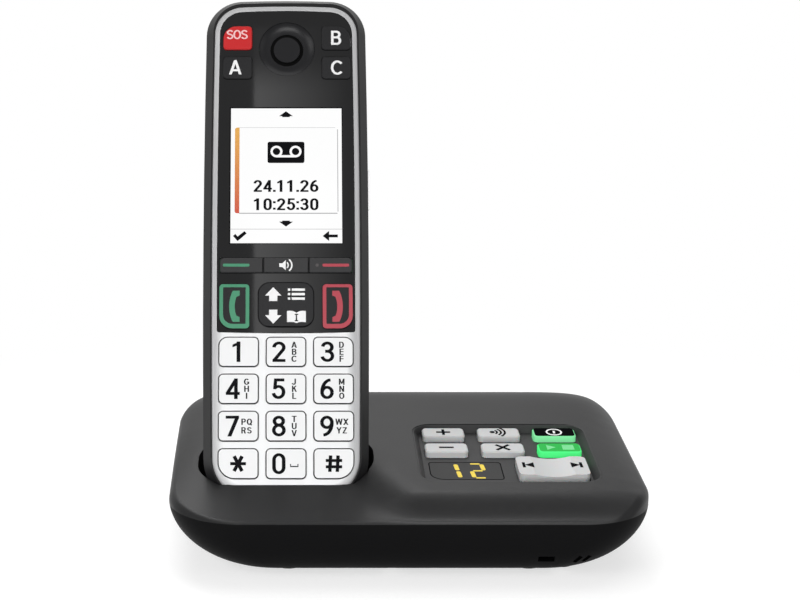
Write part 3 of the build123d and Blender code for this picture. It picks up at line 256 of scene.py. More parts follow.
def moulded(name, colour, roughness, drift=0.25, uneven=0.12, pitch=GRAIN_PITCH, lift=0.02 * mm, shine=0.5):
    """A moulded plastic or rubber whose skin comes from the grain group."""
    material = bpy.data.materials.new(name)
    material.use_nodes = True
    tree = material.node_tree
    inputs = shader_inputs(material)
    inputs["Specular IOR Level"].default_value = shine
    grain = placed(tree, moulding_grain, {"Colour": (*colour, 1), "Drift": drift, "Gloss": roughness,
                                          "Unevenness": uneven, "Grain per metre": 1 / pitch})
    bump = wired(tree, "ShaderNodeBump", Distance=lift, Height=grain.outputs["Height"])
    tree.links.new(grain.outputs["Colour"], inputs["Base Color"])
    tree.links.new(grain.outputs["Roughness"], inputs["Roughness"])
    tree.links.new(bump.outputs["Normal"], inputs["Normal"])
    return material


def clothe(material, *names):
    for name in names:
        nodes[name].material_slots[0].material = material


base_plastic = moulded("base_plastic", BASE_COLOUR, 0.4, shine=0.115)
# the lower shell is the same plastic, painted darker and duller: painted shade for its sides, which face down
# and away from the lamps
shaded_lower_plastic = moulded("shaded_lower_plastic", (0.0065, 0.0065, 0.0068), 0.5, shine=0.02)
clothe(base_plastic, "base_upper_shell")
clothe(shaded_lower_plastic, "base_lower_shell")

# ------------------------------------------------- feet, sockets and screws
# Four rubber pads keep the base from sliding. The line and power sockets are
# black nylon blocks; pan-head screws of plated steel close the housings.
foot_rubber = moulded("foot_rubber", (0.022, 0.022, 0.022), 0.8, drift=0.5, pitch=0.9 * mm, shine=0.2)
socket_nylon = moulded("socket_nylon", (0.010, 0.010, 0.011), 0.55, shine=0.3)
STREAK_LENGTH = 2.5 * mm


def worked_metal(name, colour, roughness, streaks):
    """Bare metal with so many drawing streaks per metre, all along x, and a faint unevenness."""
    material = moulded(name, colour, roughness, drift=0.5, uneven=0.3, pitch=0.3 * mm, lift=0.01 * mm)
    tree = material.node_tree
    shader_inputs(material)["Metallic"].default_value = 1.0
    scale = (1 / STREAK_LENGTH, streaks, streaks)
    squeeze = wired(tree, "ShaderNodeMapping", object_place(tree), Scale=scale)
    lines = wired(tree, "ShaderNodeTexNoise", squeeze.outputs["Vector"], Scale=1.0)
    tree.links.new(lines.outputs["Fac"], tree.nodes["Bump"].inputs["Height"])
    return material


plated_steel = worked_metal("plated_steel", (0.62, 0.62, 0.60), 0.32, 5000)
contact_metal = worked_metal("contact_metal", (0.80, 0.72, 0.52), 0.25, 7000)
clothe(foot_rubber, "base_feet")
clothe(socket_nylon, "power_socket", "line_socket")
clothe(plated_steel, "base_screws", "handset_screws", "battery_contacts")
clothe(contact_metal, "charging_contact_left", "charging_contact_right", "charging_pads")

# ------------------------------------------------------------------- insides
# Boards with green solder resist, key mats of soft rubber, loudspeakers with
# coated steel frames, and two sleeved cells under the battery cover.
board_resist = moulded("board_resist", (0.02, 0.13, 0.05), 0.35, drift=0.8, pitch=2.2 * mm)
mat_rubber = moulded("mat_rubber", (0.045, 0.045, 0.048), 0.7, drift=0.4, pitch=0.7 * mm, shine=0.25)
speaker_frame = worked_metal("speaker_frame", (0.16, 0.16, 0.17), 0.45, 3000)
cell_sleeve = moulded("cell_sleeve", (0.05, 0.28, 0.14), 0.3, drift=0.3, pitch=1.5 * mm)
clothe(board_resist, "base_circuit_board", "key_board", "handset_circuit_board")
clothe(mat_rubber, "base_key_mat", "handset_key_mat")
clothe(speaker_frame, "base_speaker", "earpiece_speaker", "handsfree_speaker")
clothe(cell_sleeve, "battery_cells")

# ----------------------------------------------------------------- key panel
# A mid-grey dish let into the top of the base; its floor is satin and holds
# the keys and the window of the message counter.
panel_plastic = moulded("panel_plastic", (0.035, 0.035, 0.0355), 0.5, drift=0.2, shine=0.1)
window_film = moulded("window_film", (0.032, 0.032, 0.032), 0.45, drift=0.3, uneven=0.08, lift=0.004 * mm,
                       shine=0.06)
clothe(panel_plastic, "key_panel")
clothe(window_film, "display_window")

ACROSS = Vector((1, 0, 0))
PANEL_OUT = -axis["play_key_press"]
PANEL_UP = PANEL_OUT.cross(ACROSS)
FACE_DEPTH = 0.02 * mm  # spots this near to the foremost one lie on the front face


def seat(node, up, out):
    """Frame in the middle of a node's front face: x to the right, y up the face, z out of it."""
    spots = [vertex.co for vertex in nodes[node].data.vertices]
    front = max(out.dot(spot) for spot in spots)
    face = [spot for spot in spots if front - out.dot(spot) < FACE_DEPTH]
    x = (min(spot.x for spot in face) + max(spot.x for spot in face)) / 2
    y = (min(up.dot(spot) for spot in face) + max(up.dot(spot) for spot in face)) / 2
    middle = ACROSS * x + up * y + out * front
    return Matrix.Translation(middle) @ Matrix((ACROSS, up, out)).transposed().to_4x4()


# --------------------------------------------------------- prints on the keys
# Figures and signs are pad-printed: a thin skin of ink that stands a hair
# above the key. Every print is a closed solid film with its own rim.
INK = 0.05 * mm
INK_SINK = 0.01 * mm
WELD = 1e-4  # points of a drawing nearer than this, in millimetres, are one


def film_mesh(name, outlines, place, united):
    """Solid film from closed outlines in millimetres; united ones may overlap, others cut holes."""
    spots, loops = [], []
    for outline in outlines:
        swept = sum(a[0] * b[1] - b[0] * a[1] for a, b in zip(outline, outline[1:] + outline[:1]))
        loops.append(list(range(len(spots), len(spots) + len(outline))))
        spots += [Vector(spot) for spot in (outline if swept > 0 else outline[::-1])]
    spots, _, cells, _, _, owners = delaunay_2d_cdt(spots, [], loops, 0, WELD)
    inked = [cell for cell, owner in zip(cells, owners) if (owner if united else len(owner) % 2)]
    skin = bmesh.new()
    top = [skin.verts.new((spot.x * mm, spot.y * mm, INK - INK_SINK)) for spot in spots]
    low = [skin.verts.new((spot.x * mm, spot.y * mm, -INK_SINK)) for spot in spots]
    sides = {side for cell in inked for side in zip(cell, cell[1:] + cell[:1])}
    for cell in inked:
        skin.faces.new([top[spot] for spot in cell])
        skin.faces.new([low[spot] for spot in reversed(cell)])
    for a, b in sides:
        if (b, a) not in sides:
            skin.faces.new((top[a], low[a], low[b], top[b]))
    bmesh.ops.delete(skin, geom=[spot for spot in skin.verts if not spot.link_faces], context="VERTS")
    skin.transform(place)
    mesh = bpy.data.meshes.new(name)
    skin.to_mesh(mesh)
    skin.free()
    return mesh


def sign(name, outlines, place, ink, body, united=False):
    """A print that rides with the piece it is printed on."""
    mesh = film_mesh(name, outlines, place, united)
    mesh.materials.append(ink)
    film = bpy.data.objects.new(name, mesh)
    scene.collection.objects.link(film)
    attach(film, body)


def bow(middle, radii, start, end, steps=16):
    """Points on an elliptical arc, in degrees from the x direction."""
    turns = [radians(start + (end - start) * step / steps) for step in range(steps + 1)]
    return [(middle[0] + radii[0] * cos(turn), middle[1] + radii[1] * sin(turn)) for turn in turns]


def oval(middle, radii):
    return bow(middle, radii, 0, 345, steps=23)


def disc(middle, radius):
    return oval(middle, (radius, radius))


def band(middle, radius, width, start, end):
    """A curved stroke of even width."""
    outer, inner = radius + width / 2, radius - width / 2
    return bow(middle, (outer, outer), start, end) + bow(middle, (inner, inner), end, start)


def plate(middle, size, radii=(0, 0, 0, 0)):
    """A rectangle with rounded corners: top left, top right, bottom right, bottom left."""
    x, y = middle
    half_x, half_y = size[0] / 2, size[1] / 2
    corners = ((-1, 1, 180), (1, 1, 90), (1, -1, 0), (-1, -1, -90))
    outline = []
    for (side, end, turn), radius in zip(corners, radii):
        centre = (x + side * (half_x - radius), y + end * (half_y - radius))
        outline += bow(centre, (radius, radius), turn, turn - 90, steps=6) if radius else [centre]
    return outline


def turned(outline, degrees):
    across, along = cos(radians(degrees)), sin(radians(degrees))
    return [(x * across - y * along, x * along + y * across) for x, y in outline]


def moved(outlines, x, y, scale=1.0):
    return [[(x + scale * spot_x, y + scale * spot_y) for spot_x, spot_y in outline] for outline in outlines]


BROAD_PEN = (0.61, 0.5)  # half its width in uprights and in bars


def strip(path, pen=BROAD_PEN):
    """Cells that a broad pen leaves along a path."""
    edges = []
    for step, (x, y) in enumerate(path):
        before, after = path[max(step - 1, 0)], path[min(step + 1, len(path) - 1)]
        across = Vector((before[1] - after[1], after[0] - before[0])).normalized()
        reach = sqrt((pen[0] * across.x) ** 2 + (pen[1] * across.y) ** 2)
        push = (pen[0] ** 2 * across.x / reach, pen[1] ** 2 * across.y / reach)
        edges.append(((x + push[0], y + push[1]), (x - push[0], y - push[1])))
    return [[a[0], b[0], b[1], a[1]] for a, b in zip(edges, edges[1:])]


def printing_ink(name, colour, roughness=0.45, drift=0.1, shine=0.5):
    return moulded(name, colour, roughness, drift, pitch=0.2 * mm, lift=0.003 * mm, shine=shine)


black_ink = printing_ink("black_ink", (0.008, 0.008, 0.009), 0.5, drift=0.5, shine=0.0)
white_ink = printing_ink("white_ink", (0.80, 0.80, 0.80))

# ----------------------------------------------------------------- base keys
# Caps of translucent white plastic, pad-printed in black. The power key has a
# black top; it and the play key are lit green from below.
milky_cap = moulded("milky_cap", (0.52, 0.525, 0.525), 0.42, drift=0.06, uneven=0.1, lift=0.006 * mm,
                    shine=0.3)
shader_inputs(milky_cap)["Subsurface Weight"].default_value = 0.15
shader_inputs(milky_cap)["Subsurface Scale"].default_value = 0.8 * mm
CAP_TOP = (0.80, 0.95)  # how far the side and the top of a cap face outward


def facing_group():
    """How far a surface faces one way: 0 below the lower limit and 1 above the upper one."""
    number = "NodeSocketFloat"
    group, given, result = node_group(
        "facing", {"Direction": "NodeSocketVector", "Low": number, "High": number}, {"Facing": number},
    )
    skin = group.nodes.new("ShaderNodeNewGeometry")
    toward = measured(group, "DOT_PRODUCT", skin.outputs["True Normal"], given.outputs["Direction"])
    share = ranged(group, toward, (given.outputs["Low"], given.outputs["High"]))
    group.links.new(share, result.inputs["Facing"])
    return group


facing = facing_group()


def facing_mask(tree, direction, limits):
    mask = placed(tree, facing, {"Direction": direction, "Low": limits[0], "High": limits[1]})
    return mask.outputs["Facing"]


def mixed(tree, share, first, second):
    """Mix of two colours, each a constant or the output of another node."""
    mix = tree.nodes.new("ShaderNodeMix")
    mix.data_type = "RGBA"
    tree.links.new(share, mix.inputs["Factor"])
    for name, colour in (("A", first), ("B", second)):
        if isinstance(colour, tuple):
            mix.inputs[name].default_value = (*colour, 1)
        else:
            tree.links.new(colour, mix.inputs[name])
    return mix.outputs["Result"]


def light_up(material, light, strength=1.0):
    material.node_tree.links.new(light, shader_inputs(material)["Emission Color"])
    shader_inputs(material)["Emission Strength"].default_value = strength


def lit_cap(name, top_colour, side_colour, top_light, side_light):
    """A cap lit from below, whose top and sides differ in colour and in light."""
    material = moulded(name, top_colour, 0.5, drift=0.1, uneven=0.08, lift=0.005 * mm, shine=0.0)
    tree = material.node_tree
    top = facing_mask(tree, PANEL_OUT, CAP_TOP)
    colour = mixed(tree, top, side_colour, grain_colour(material))
    tree.links.new(colour, shader_inputs(material)["Base Color"])
    light_up(material, mixed(tree, top, side_light, top_light))
    return material


play_cap = lit_cap("play_cap", top_colour=(0.03, 0.28, 0.06), side_colour=(0.04, 0.35, 0.10),
                   top_light=(0.02, 0.22, 0.04), side_light=(0.05, 0.62, 0.15))
power_cap = lit_cap("power_cap", top_colour=(0.005, 0.005, 0.006), side_colour=(0.12, 0.35, 0.17),
                    top_light=(0, 0, 0), side_light=(0.12, 0.45, 0.20))
clothe(milky_cap, "volume_up_key", "volume_down_key", "paging_key", "delete_key", "skip_key")
clothe(play_cap, "play_key")
clothe(power_cap, "power_key")
pale_green_ink = printing_ink("pale_green_ink", (0.10, 0.62, 0.20))


def base_sign(key, outlines, ink=black_ink, united=True):
    sign(key.replace("_key", "_sign"), outlines, seat(key, PANEL_UP, PANEL_OUT), ink, key, united)


plus = [plate((0, 0), (5.0, 1.2)), plate((0, 0), (1.0, 4.9))]
minus = [plate((0, 0), (5.1, 1.2))]
waves = [disc((-2.2, 0), 0.95)] + [band((-2.6, 0), radius, 0.75, -47, 47) for radius in (2.1, 3.5, 4.9)]
cross = [turned(plate((0, 0), (6.4, 1.15)), turn) for turn in (45, -45)]
ring_and_bar = [oval((0, 0), (2.9, 3.0)), oval((0, 0), (2.3, 2.25)), plate((0, 0), (0.75, 2.3))]
play_and_stop = [[(-4.4, 2.1), (-1.3, 0.0), (-4.4, -2.1)], plate((3.0, 0), (4.0, 4.1))]
base_sign("volume_up_key", plus)
base_sign("volume_down_key", minus)
base_sign("paging_key", waves)
base_sign("delete_key", cross)
base_sign("power_key", ring_and_bar, white_ink, united=False)
base_sign("play_key", play_and_stop, pale_green_ink)

SKIP_BAR, SKIP_LEVEL = 9.7, 0.4  # from the rocker's middle to the middle of each sign's bar
SKIP_BACK, SKIP_TIP, SKIP_HALF = 3.4, 0.3, 2.1  # arrow's back and tip, from the bar, and half its height
skip_signs = []
for side in (-1, 1):
    back = side * (SKIP_BAR - SKIP_BACK)
    tip = side * (SKIP_BAR - SKIP_TIP)
    skip_signs.append(plate((side * SKIP_BAR, SKIP_LEVEL), (1.0, 2 * SKIP_HALF)))
    skip_signs.append([(back, SKIP_LEVEL + SKIP_HALF), (tip, SKIP_LEVEL), (back, SKIP_LEVEL - SKIP_HALF)])
base_sign("skip_key", skip_signs)

# ----------------------------------------------------------- message counter
# Two seven-segment figures glow yellow through the window film, whose edge
# shows as a thin dark line; a lying segment is thinner than a standing one.
digit_light = moulded("digit_light", (0.05, 0.035, 0.005), 0.4, drift=0.3, pitch=0.6 * mm, shine=0.2)
tree = digit_light.node_tree
spots = wired(tree, "ShaderNodeTexNoise", object_place(tree), Scale=900)
light_up(digit_light, mixed(tree, spots.outputs["Fac"], (0.62, 0.40, 0.01), (0.95, 0.78, 0.05)))
clothe(digit_light, "digit_display")

SEGMENT_REACH = (2.1, 2.9)  # of a standing segment's middle from the figure's middle
STANDING_SEGMENT, STANDING_ROUND = (1.5, 4.9), 0.7
LYING_SEGMENT, LYING_ROUND = (3.3, 0.95), 0.4
COUNTER_LEAN = -0.08
COUNTER_FIGURES = (("counter_tens", -4.9, "bc"), ("counter_ones", 4.0, "abged"))


def segment(letter):
    """Outline of one of the seven segments, lettered from the top clockwise."""
    x, y = SEGMENT_REACH
    if letter in "adg":
        level = {"a": 2, "g": 0, "d": -2}[letter] * y
        outline = plate((0, level), LYING_SEGMENT, (LYING_ROUND,) * 4)
    else:
        side = 1 if letter in "bc" else -1
        end = 1 if letter in "bf" else -1
        outline = plate((side * x, end * y), STANDING_SEGMENT, (STANDING_ROUND,) * 4)
    return [(x + COUNTER_LEAN * y, y) for x, y in outline]


window = seat("display_window", PANEL_UP, PANEL_OUT)
for figure, figure_x, letters in COUNTER_FIGURES:
    segments = moved([segment(letter) for letter in letters], figure_x, 0)
    sign(figure, segments, window, digit_light, "base")

WINDOW_SIZE = (24.9, 14.7)
WINDOW_CORNERS = (1.5, 1.5, 1.5, 5.0)
WINDOW_LINE = 0.35
inner_size = [side - 2 * WINDOW_LINE for side in WINDOW_SIZE]
inner_corners = [radius - WINDOW_LINE for radius in WINDOW_CORNERS]
window_line = [plate((0, 0), WINDOW_SIZE, WINDOW_CORNERS), plate((0, 0), inner_size, inner_corners)]
sign("window_edge", window_line, window, black_ink, "base")

# ------------------------------------------------------------- handset casing
# The dark back shell and battery cover are satin plastic like the base. The
# face is a silver-grey painted frame that runs round the black lens and down
# to form the keypad, with a key of brushed metal in its right side.
handset_plastic = moulded("handset_plastic", (0.012, 0.012, 0.0125), 0.45, shine=0.12)
UP = axis["handset_lift"]
OUT = ACROSS.cross(UP)
WALL_SHADE = (0.02, 0.02, 0.02)  # painted shade on walls that face aside; on the silver face also its bare plastic


def bare_walls(material, paint, limits):
    """The given colour where a surface faces outward, and a dark colour where it faces aside: painted shade
    of the gaps round keys and holes, on the silver face also the bare plastic below its paint.
    """
    tree = material.node_tree
    front = facing_mask(tree, OUT, limits)
    tree.links.new(mixed(tree, front, WALL_SHADE, paint), shader_inputs(material)["Base Color"])


silver_paint = moulded("silver_paint", (0.78, 0.785, 0.79), 0.45, drift=0.08, uneven=0.1, pitch=0.12 * mm,
                       lift=0.004 * mm, shine=0.2)
shader_inputs(silver_paint)["Metallic"].default_value = 0.1
FACE_FRONT = (0.05, 0.30)  # how far the face's walls and its front face outward

# the rolled rim, drawn by a bump and darkened with painted shade: how far a spot lies outside the face's
# rectangle with its round corners
FACE_RADIUS = 11 * mm
ROLL_START, ROLL_END = 5.0 * mm, 1.0 * mm  # distances from the outline
ROLL_DROP = 1.2 * mm
# darker grey that the rim turns to: painted shade of the rolled edge
ROLL_SHADE = (0.40, 0.40, 0.405)
low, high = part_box("handset_bezel")
heights = [UP.dot(vertex.co) for vertex in nodes["handset_bezel"].data.vertices]
middle = ((low.x + high.x) / 2, (min(heights) + max(heights)) / 2)
half = ((high.x - low.x) / 2 - FACE_RADIUS, (max(heights) - min(heights)) / 2 - FACE_RADIUS, 0)
tree = silver_paint.node_tree
place = object_place(tree)
aside = computed(tree, "SUBTRACT", measured(tree, "DOT_PRODUCT", place, ACROSS), middle[0])
aloft = computed(tree, "SUBTRACT", measured(tree, "DOT_PRODUCT", place, UP), middle[1])
spot = wired(tree, "ShaderNodeCombineXYZ", aside, aloft).outputs["Vector"]
for operation, other in (("ABSOLUTE", None), ("SUBTRACT", half), ("MAXIMUM", (0, 0, 0))):
    spot = wired(tree, "ShaderNodeVectorMath", spot, other, operation=operation).outputs["Vector"]
roll_limits = (FACE_RADIUS - ROLL_START, FACE_RADIUS - ROLL_END)
rim = ranged(tree, measured(tree, "LENGTH", spot), roll_limits, smooth=True)
grain_normal = tree.nodes["Bump"].outputs["Normal"]
drop = wired(tree, "ShaderNodeBump", Distance=ROLL_DROP, Height=rim, Normal=grain_normal)
drop.invert = True
tree.links.new(drop.outputs["Normal"], shader_inputs(silver_paint)["Normal"])
bare_walls(silver_paint, mixed(tree, rim, grain_colour(silver_paint), ROLL_SHADE), FACE_FRONT)

brushed_silver = worked_metal("brushed_silver", (0.66, 0.66, 0.66), 0.3, 6000)
clothe(handset_plastic, "handset_back_shell", "battery_cover")
clothe(silver_paint, "handset_bezel")
clothe(brushed_silver, "side_key")

# -------------------------------------------------------- lens and front keys
# A glossy black plate covers the upper part of the face. The ear cup and the
# black, grey and red front keys are let into it, and the screen shows in it.
lens_black = moulded("lens_black", (0.004, 0.004, 0.0045), 0.03, drift=0.3, uneven=0.01, pitch=3 * mm,
                     lift=0.001 * mm, shine=0.24)


def gloss_cap(name, colour, roughness, drift=0.3, uneven=0.08, shine=0.25):
    return moulded(name, colour, roughness, drift, uneven, lift=0.002 * mm, shine=shine)


black_cap = gloss_cap("black_cap", (0.005, 0.005, 0.006), 0.2)
grey_cap = gloss_cap("grey_cap", (0.022, 0.022, 0.023), 0.25)
red_cap = gloss_cap("red_cap", (0.50, 0.012, 0.014), 0.3, drift=0.12, uneven=0.06, shine=0.3)
ear_plastic = moulded("ear_plastic", (0.008, 0.008, 0.009), 0.3, drift=0.3, lift=0.004 * mm, shine=0.14)
clothe(lens_black, "handset_lens")
clothe(ear_plastic, "earpiece_grille")
clothe(black_cap, "key_a", "key_b", "key_c", "talk_key", "end_key", "nav_key")
clothe(grey_cap, "left_soft_key", "speaker_key", "right_soft_key")
clothe(red_cap, "sos_key")

# a black ring laid in the sound groove of the ear cup is painted shade: it darkens the groove, where shade
# falls
GROOVE_SHADE_RADII = (5.74, 4.66)
GROOVE_DEPTH = 1.9 * mm  # below the cup's edge
GROOVE_SHADE_HEIGHT, GROOVE_SHADE_GAP = 0.6 * mm, 0.02 * mm
groove_shade = moulded("groove_shade", (0.004, 0.004, 0.004), 0.9, drift=0.6, pitch=0.25 * mm, lift=0.05 * mm, shine=0.0)
groove_floor = seat("earpiece_grille", UP, OUT) @ Matrix.Translation((0, 0, GROOVE_SHADE_GAP - GROOVE_DEPTH))
sign("ear_groove_shade", [disc((0, 0), radius) for radius in GROOVE_SHADE_RADII],
     groove_floor @ Matrix.Diagonal((1, 1, GROOVE_SHADE_HEIGHT / INK, 1)), groove_shade, "handset")

# Characters are drawn seven millimetres high, in strokes about a millimetre broad.
CHARACTER_HEIGHT = 7.0
POST_WIDTH, BAR_HEIGHT = 1.2, 1.0


def posts(*places):
    return [plate((x, 0), (POST_WIDTH, CHARACTER_HEIGHT)) for x in places]


def bars(x, width, *levels):
    return [plate((x, level), (width, BAR_HEIGHT)) for level in levels]


def dots(*levels):
    return [plate((0, level), (POST_WIDTH, POST_WIDTH)) for level in levels]


def loop(middle, radii):
    return strip(bow(middle, radii, 0, 360, 32))


def bowl(x, middle, radii):
    """The round of a letter, from the top of its upright to the foot of the round."""
    top, foot = middle[1] + radii[1], middle[1] - radii[1]
    return strip([(x, top)] + bow(middle, radii, 90, -90) + [(x, foot)])


def paired(outline):
    return [outline, [(-x, y) for x, y in outline]]


six = loop((0, -1.25), (1.68, 1.75)) + strip(bow((1.2, -1.1), (2.88, 4.1), 90, 180))
ring = loop((0, 0), (2.2, 3.0))
characters = {
    "0": strip(bow((0, 1.3), (1.62, 1.7), 0, 180) + bow((0, -1.3), (1.62, 1.7), 180, 360) + [(1.62, 1.3)]),
    "1": [plate((0, 0), (1.28, CHARACTER_HEIGHT)),
          [(-2.05, 1.5), (-2.05, 2.45), (0.3, 3.5), (0.64, 3.5), (0.64, 2.4), (-0.4, 2.15)]],
    "2": strip(bow((0, 1.5), (1.66, 1.5), 180, -35) + [(-1.55, -2.85)]) + bars(0.03, 4.4, -3.0),
    "3": strip(bow((-0.05, 1.58), (1.58, 1.42), 172, -90))
    + strip(bow((-0.05, -1.42), (1.74, 1.58), 90, -172)) + bars(-0.35, 0.9, 0.16),
    "4": strip([(1.05, -3.5), (1.05, 3.5)]) + strip([(-1.85, -1.6), (0.95, 3.0)]) + bars(0, 4.7, -1.6),
    "5": bars(0.2, 3.5, 3.0) + strip([(-1.0, 3.1), (-1.3, -0.15)], (0.56, 0.5))
    + strip(bow((-0.05, -1.1), (1.75, 1.9), 128, -168)),
    "6": six,
    "7": bars(0, 4.5, 3.0) + [[(-1.65, -3.5), (-0.3, -3.5), (2.25, 2.75), (2.25, 3.3), (0.85, 2.6)]],
    "8": loop((0, 1.68), (1.5, 1.32)) + loop((0, -1.38), (1.7, 1.62)),
    "9": [turned(cell, 180) for cell in six],
    ":": dots(1.2, -2.6),
    ".": dots(-2.9),
    "A": paired([(-2.95, -3.5), (-1.7, -3.5), (0.62, 3.5), (-0.62, 3.5)]) + bars(0, 3.2, -1.45),
    "B": posts(-1.7) + bowl(-1.6, (0.25, 1.62), (1.35, 1.38)) + bowl(-1.6, (0.35, -1.38), (1.55, 1.62)),
    "C": strip(bow((0.2, 0), (2.45, 3.0), 40, 320, 28)),
    "D": posts(-1.9) + bowl(-1.8, (-0.1, 0), (2.1, 3.0)),
    "E": posts(-1.5) + bars(0.1, 3.9, 3.0, 0.1, -3.0),
    "F": posts(-1.5) + bars(0.1, 3.9, 3.0, 0.0),
    "G": strip(bow((0, 0), (2.2, 3.0), 42, 330, 28)) + bars(1.5, 2.3, -0.4)
    + [plate((2.1, -1.2), (1.1, 2.4))],
    "H": posts(-1.9, 1.9) + bars(0, 3.6, 0.1),
    "I": posts(0),
    "J": strip([(1.2, 3.5)] + bow((-0.35, -1.3), (1.55, 1.7), 0, -170)),
    "K": posts(-1.7) + [[(-1.2, -0.9), (-1.2, 0.7), (1.25, 3.5), (2.65, 3.5)],
                        [(-0.35, 0.4), (0.6, 1.2), (2.85, -3.5), (1.45, -3.5)]],
    "L": posts(-1.4) + bars(0.2, 3.9, -3.0),
    "M": posts(-2.4, 2.4) + paired([(-2.95, 3.5), (-1.75, 3.5), (0.5, -2.4), (-0.5, -2.4)]),
    "N": posts(-1.95, 1.95) + [[(-2.5, 3.5), (-1.2, 3.5), (2.5, -3.5), (1.2, -3.5)]],
    "O": ring,
    "P": posts(-1.6) + bowl(-1.5, (0.3, 1.4), (1.55, 1.6)),
    "Q": ring + [[(0.4, -1.8), (1.3, -1.2), (2.9, -3.5), (2.0, -4.2)]],
    "R": posts(-1.6) + bowl(-1.5, (0.3, 1.5), (1.5, 1.5))
    + [[(-0.1, 0.2), (1.25, 0.2), (2.6, -3.5), (1.25, -3.5)]],
    "S": strip(bow((0, 1.6), (1.75, 1.4), 15, 235) + bow((0, -1.5), (1.85, 1.5), 62, -165)),
    "T": bars(0, 5.1, 3.0) + posts(0),
    "U": strip([(-1.95, 3.5)] + bow((0, -1.0), (1.95, 2.0), 180, 360) + [(1.95, 3.5)]),
    "V": paired([(-2.85, 3.5), (-1.6, 3.5), (0.6, -3.5), (-0.6, -3.5)]),
    "W": paired([(-3.9, 3.5), (-2.7, 3.5), (-1.4, -3.5), (-2.5, -3.5)])
    + paired([(-2.5, -3.5), (-1.4, -3.5), (0.55, 3.5), (-0.55, 3.5)]),
    "X": paired([(-2.75, 3.5), (-1.3, 3.5), (2.75, -3.5), (1.3, -3.5)]),
    "Y": paired([(-2.75, 3.5), (-1.4, 3.5), (0.6, -0.5), (-0.6, -0.5)]) + [plate((0, -1.9), (1.2, 3.2))],
    "Z": bars(0, 4.4, 3.0, -3.0) + [[(0.9, 2.9), (2.2, 2.9), (-0.9, -2.9), (-2.2, -2.9)]],
}
COMMON_STEP = 5.7  # width that a character takes, in the size of its drawing
CHARACTER_STEP = {":": 2.0, ".": 2.0, "I": 2.6, "M": 7.2, "W": 8.8, "V": 6.6, "A": 6.8, "Y": 6.2}


def written(text, middle, height, step=COMMON_STEP):
    """Cells of a line of characters round its middle."""
    scale = height / CHARACTER_HEIGHT
    steps = [CHARACTER_STEP.get(letter, step) for letter in text]
    x = -sum(steps) / 2
    cells = []
    for letter, width in zip(text, steps):
        cells += moved(characters[letter], middle[0] + (x + width / 2) * scale, middle[1], scale)
        x += width
    return cells


def front_sign(name, key, outlines, ink, united=False):
    sign(name, outlines, seat(key, UP, OUT), ink, key, united)


def front_letters(key, text, height, at=(0.0, 0.0), step=COMMON_STEP, ink=white_ink):
    name = key.replace("_key", "") + "_letters"
    front_sign(name, key, written(text, at, height, step), ink, united=True)


rose_ink = printing_ink("rose_ink", (0.80, 0.50, 0.50))
front_letters("sos_key", "SOS", 3.4, (-0.2, 1.2), step=5.2, ink=rose_ink)
front_letters("key_a", "A", 5.2, (-0.8, 0.1))
front_letters("key_b", "B", 5.2)
front_letters("key_c", "C", 5.2, (0.3, 0.0))

green_ink = printing_ink("green_ink", (0.028, 0.22, 0.11), 0.35)
red_ink = printing_ink("red_ink", (0.37, 0.025, 0.045), 0.35)
dim_ink = printing_ink("dim_ink", (0.03, 0.025, 0.025), 0.5, drift=0.3)

# the receiver seen from its side: a thick bow with squared ends
RECEIVER_END, RECEIVER_TIP, RECEIVER_NECK = 1.8, 5.4, 3.75
receiver = [(RECEIVER_END, RECEIVER_TIP)] + bow((1.9, 0), (3.65, 7.13), 131, 229)
receiver += [(RECEIVER_END, -RECEIVER_TIP), (RECEIVER_END, -RECEIVER_NECK)]
receiver += bow((1.9, 0), (1.75, 4.3), 230, 130) + [(RECEIVER_END, RECEIVER_NECK)]

# the talk key and the end key have a coloured frame with one wide corner
FRAME_SIZE, OPENING_SIZE, OPENING_RISE = (10.2, 15.3), (7.7, 12.7), 0.25
FRAME_ROUND, FRAME_SWEEP, FRAME_EDGE, LEAST_ROUND = 1.2, 4.4, 1.2, 0.25
for key, side, ink, slot, radii in (
    ("talk_key", 1, green_ink, "green_key", (FRAME_ROUND, FRAME_ROUND, FRAME_ROUND, FRAME_SWEEP)),
    ("end_key", -1, red_ink, "red_key", (FRAME_ROUND, FRAME_ROUND, FRAME_SWEEP, FRAME_ROUND)),
):
    inner = [max(LEAST_ROUND, radius - FRAME_EDGE) for radius in radii]
    frame_lines = [plate((0, 0), FRAME_SIZE, radii), plate((0, OPENING_RISE), OPENING_SIZE, inner)]
    front_sign(key.replace("key", "frame"), key, frame_lines, ink)
    outline = [(side * x, y) for x, y in receiver]
    front_sign(key.replace("key", "receiver"), key, [outline], ink)

SOFT_LINE, SOFT_LINE_ROUND, SOFT_LINE_SHIFT = (9.1, 1.0), 0.4, 1.8
for key, side, ink, slot in (
    ("left_soft", -1, green_ink, "green_key"),
    ("right_soft", 1, red_ink, "red_key"),
):
    line = plate((side * SOFT_LINE_SHIFT, 0), SOFT_LINE, (SOFT_LINE_ROUND,) * 4)
    front_sign(key + "_line", key + "_key", [line], ink)
front_sign("right_soft_dot", "right_soft_key", [disc((-4.6, 0), 0.55)], dim_ink)
front_sign("speaker_sign", "speaker_key", [
    [(-2.3, 0.65), (-1.3, 0.65), (-0.1, 1.75), (-0.1, -1.75), (-1.3, -0.65), (-2.3, -0.65)],
    band((-0.5, 0), 1.25, 0.42, -50, 50), band((-0.5, 0), 2.5, 0.5, -52, 52),
], white_ink)

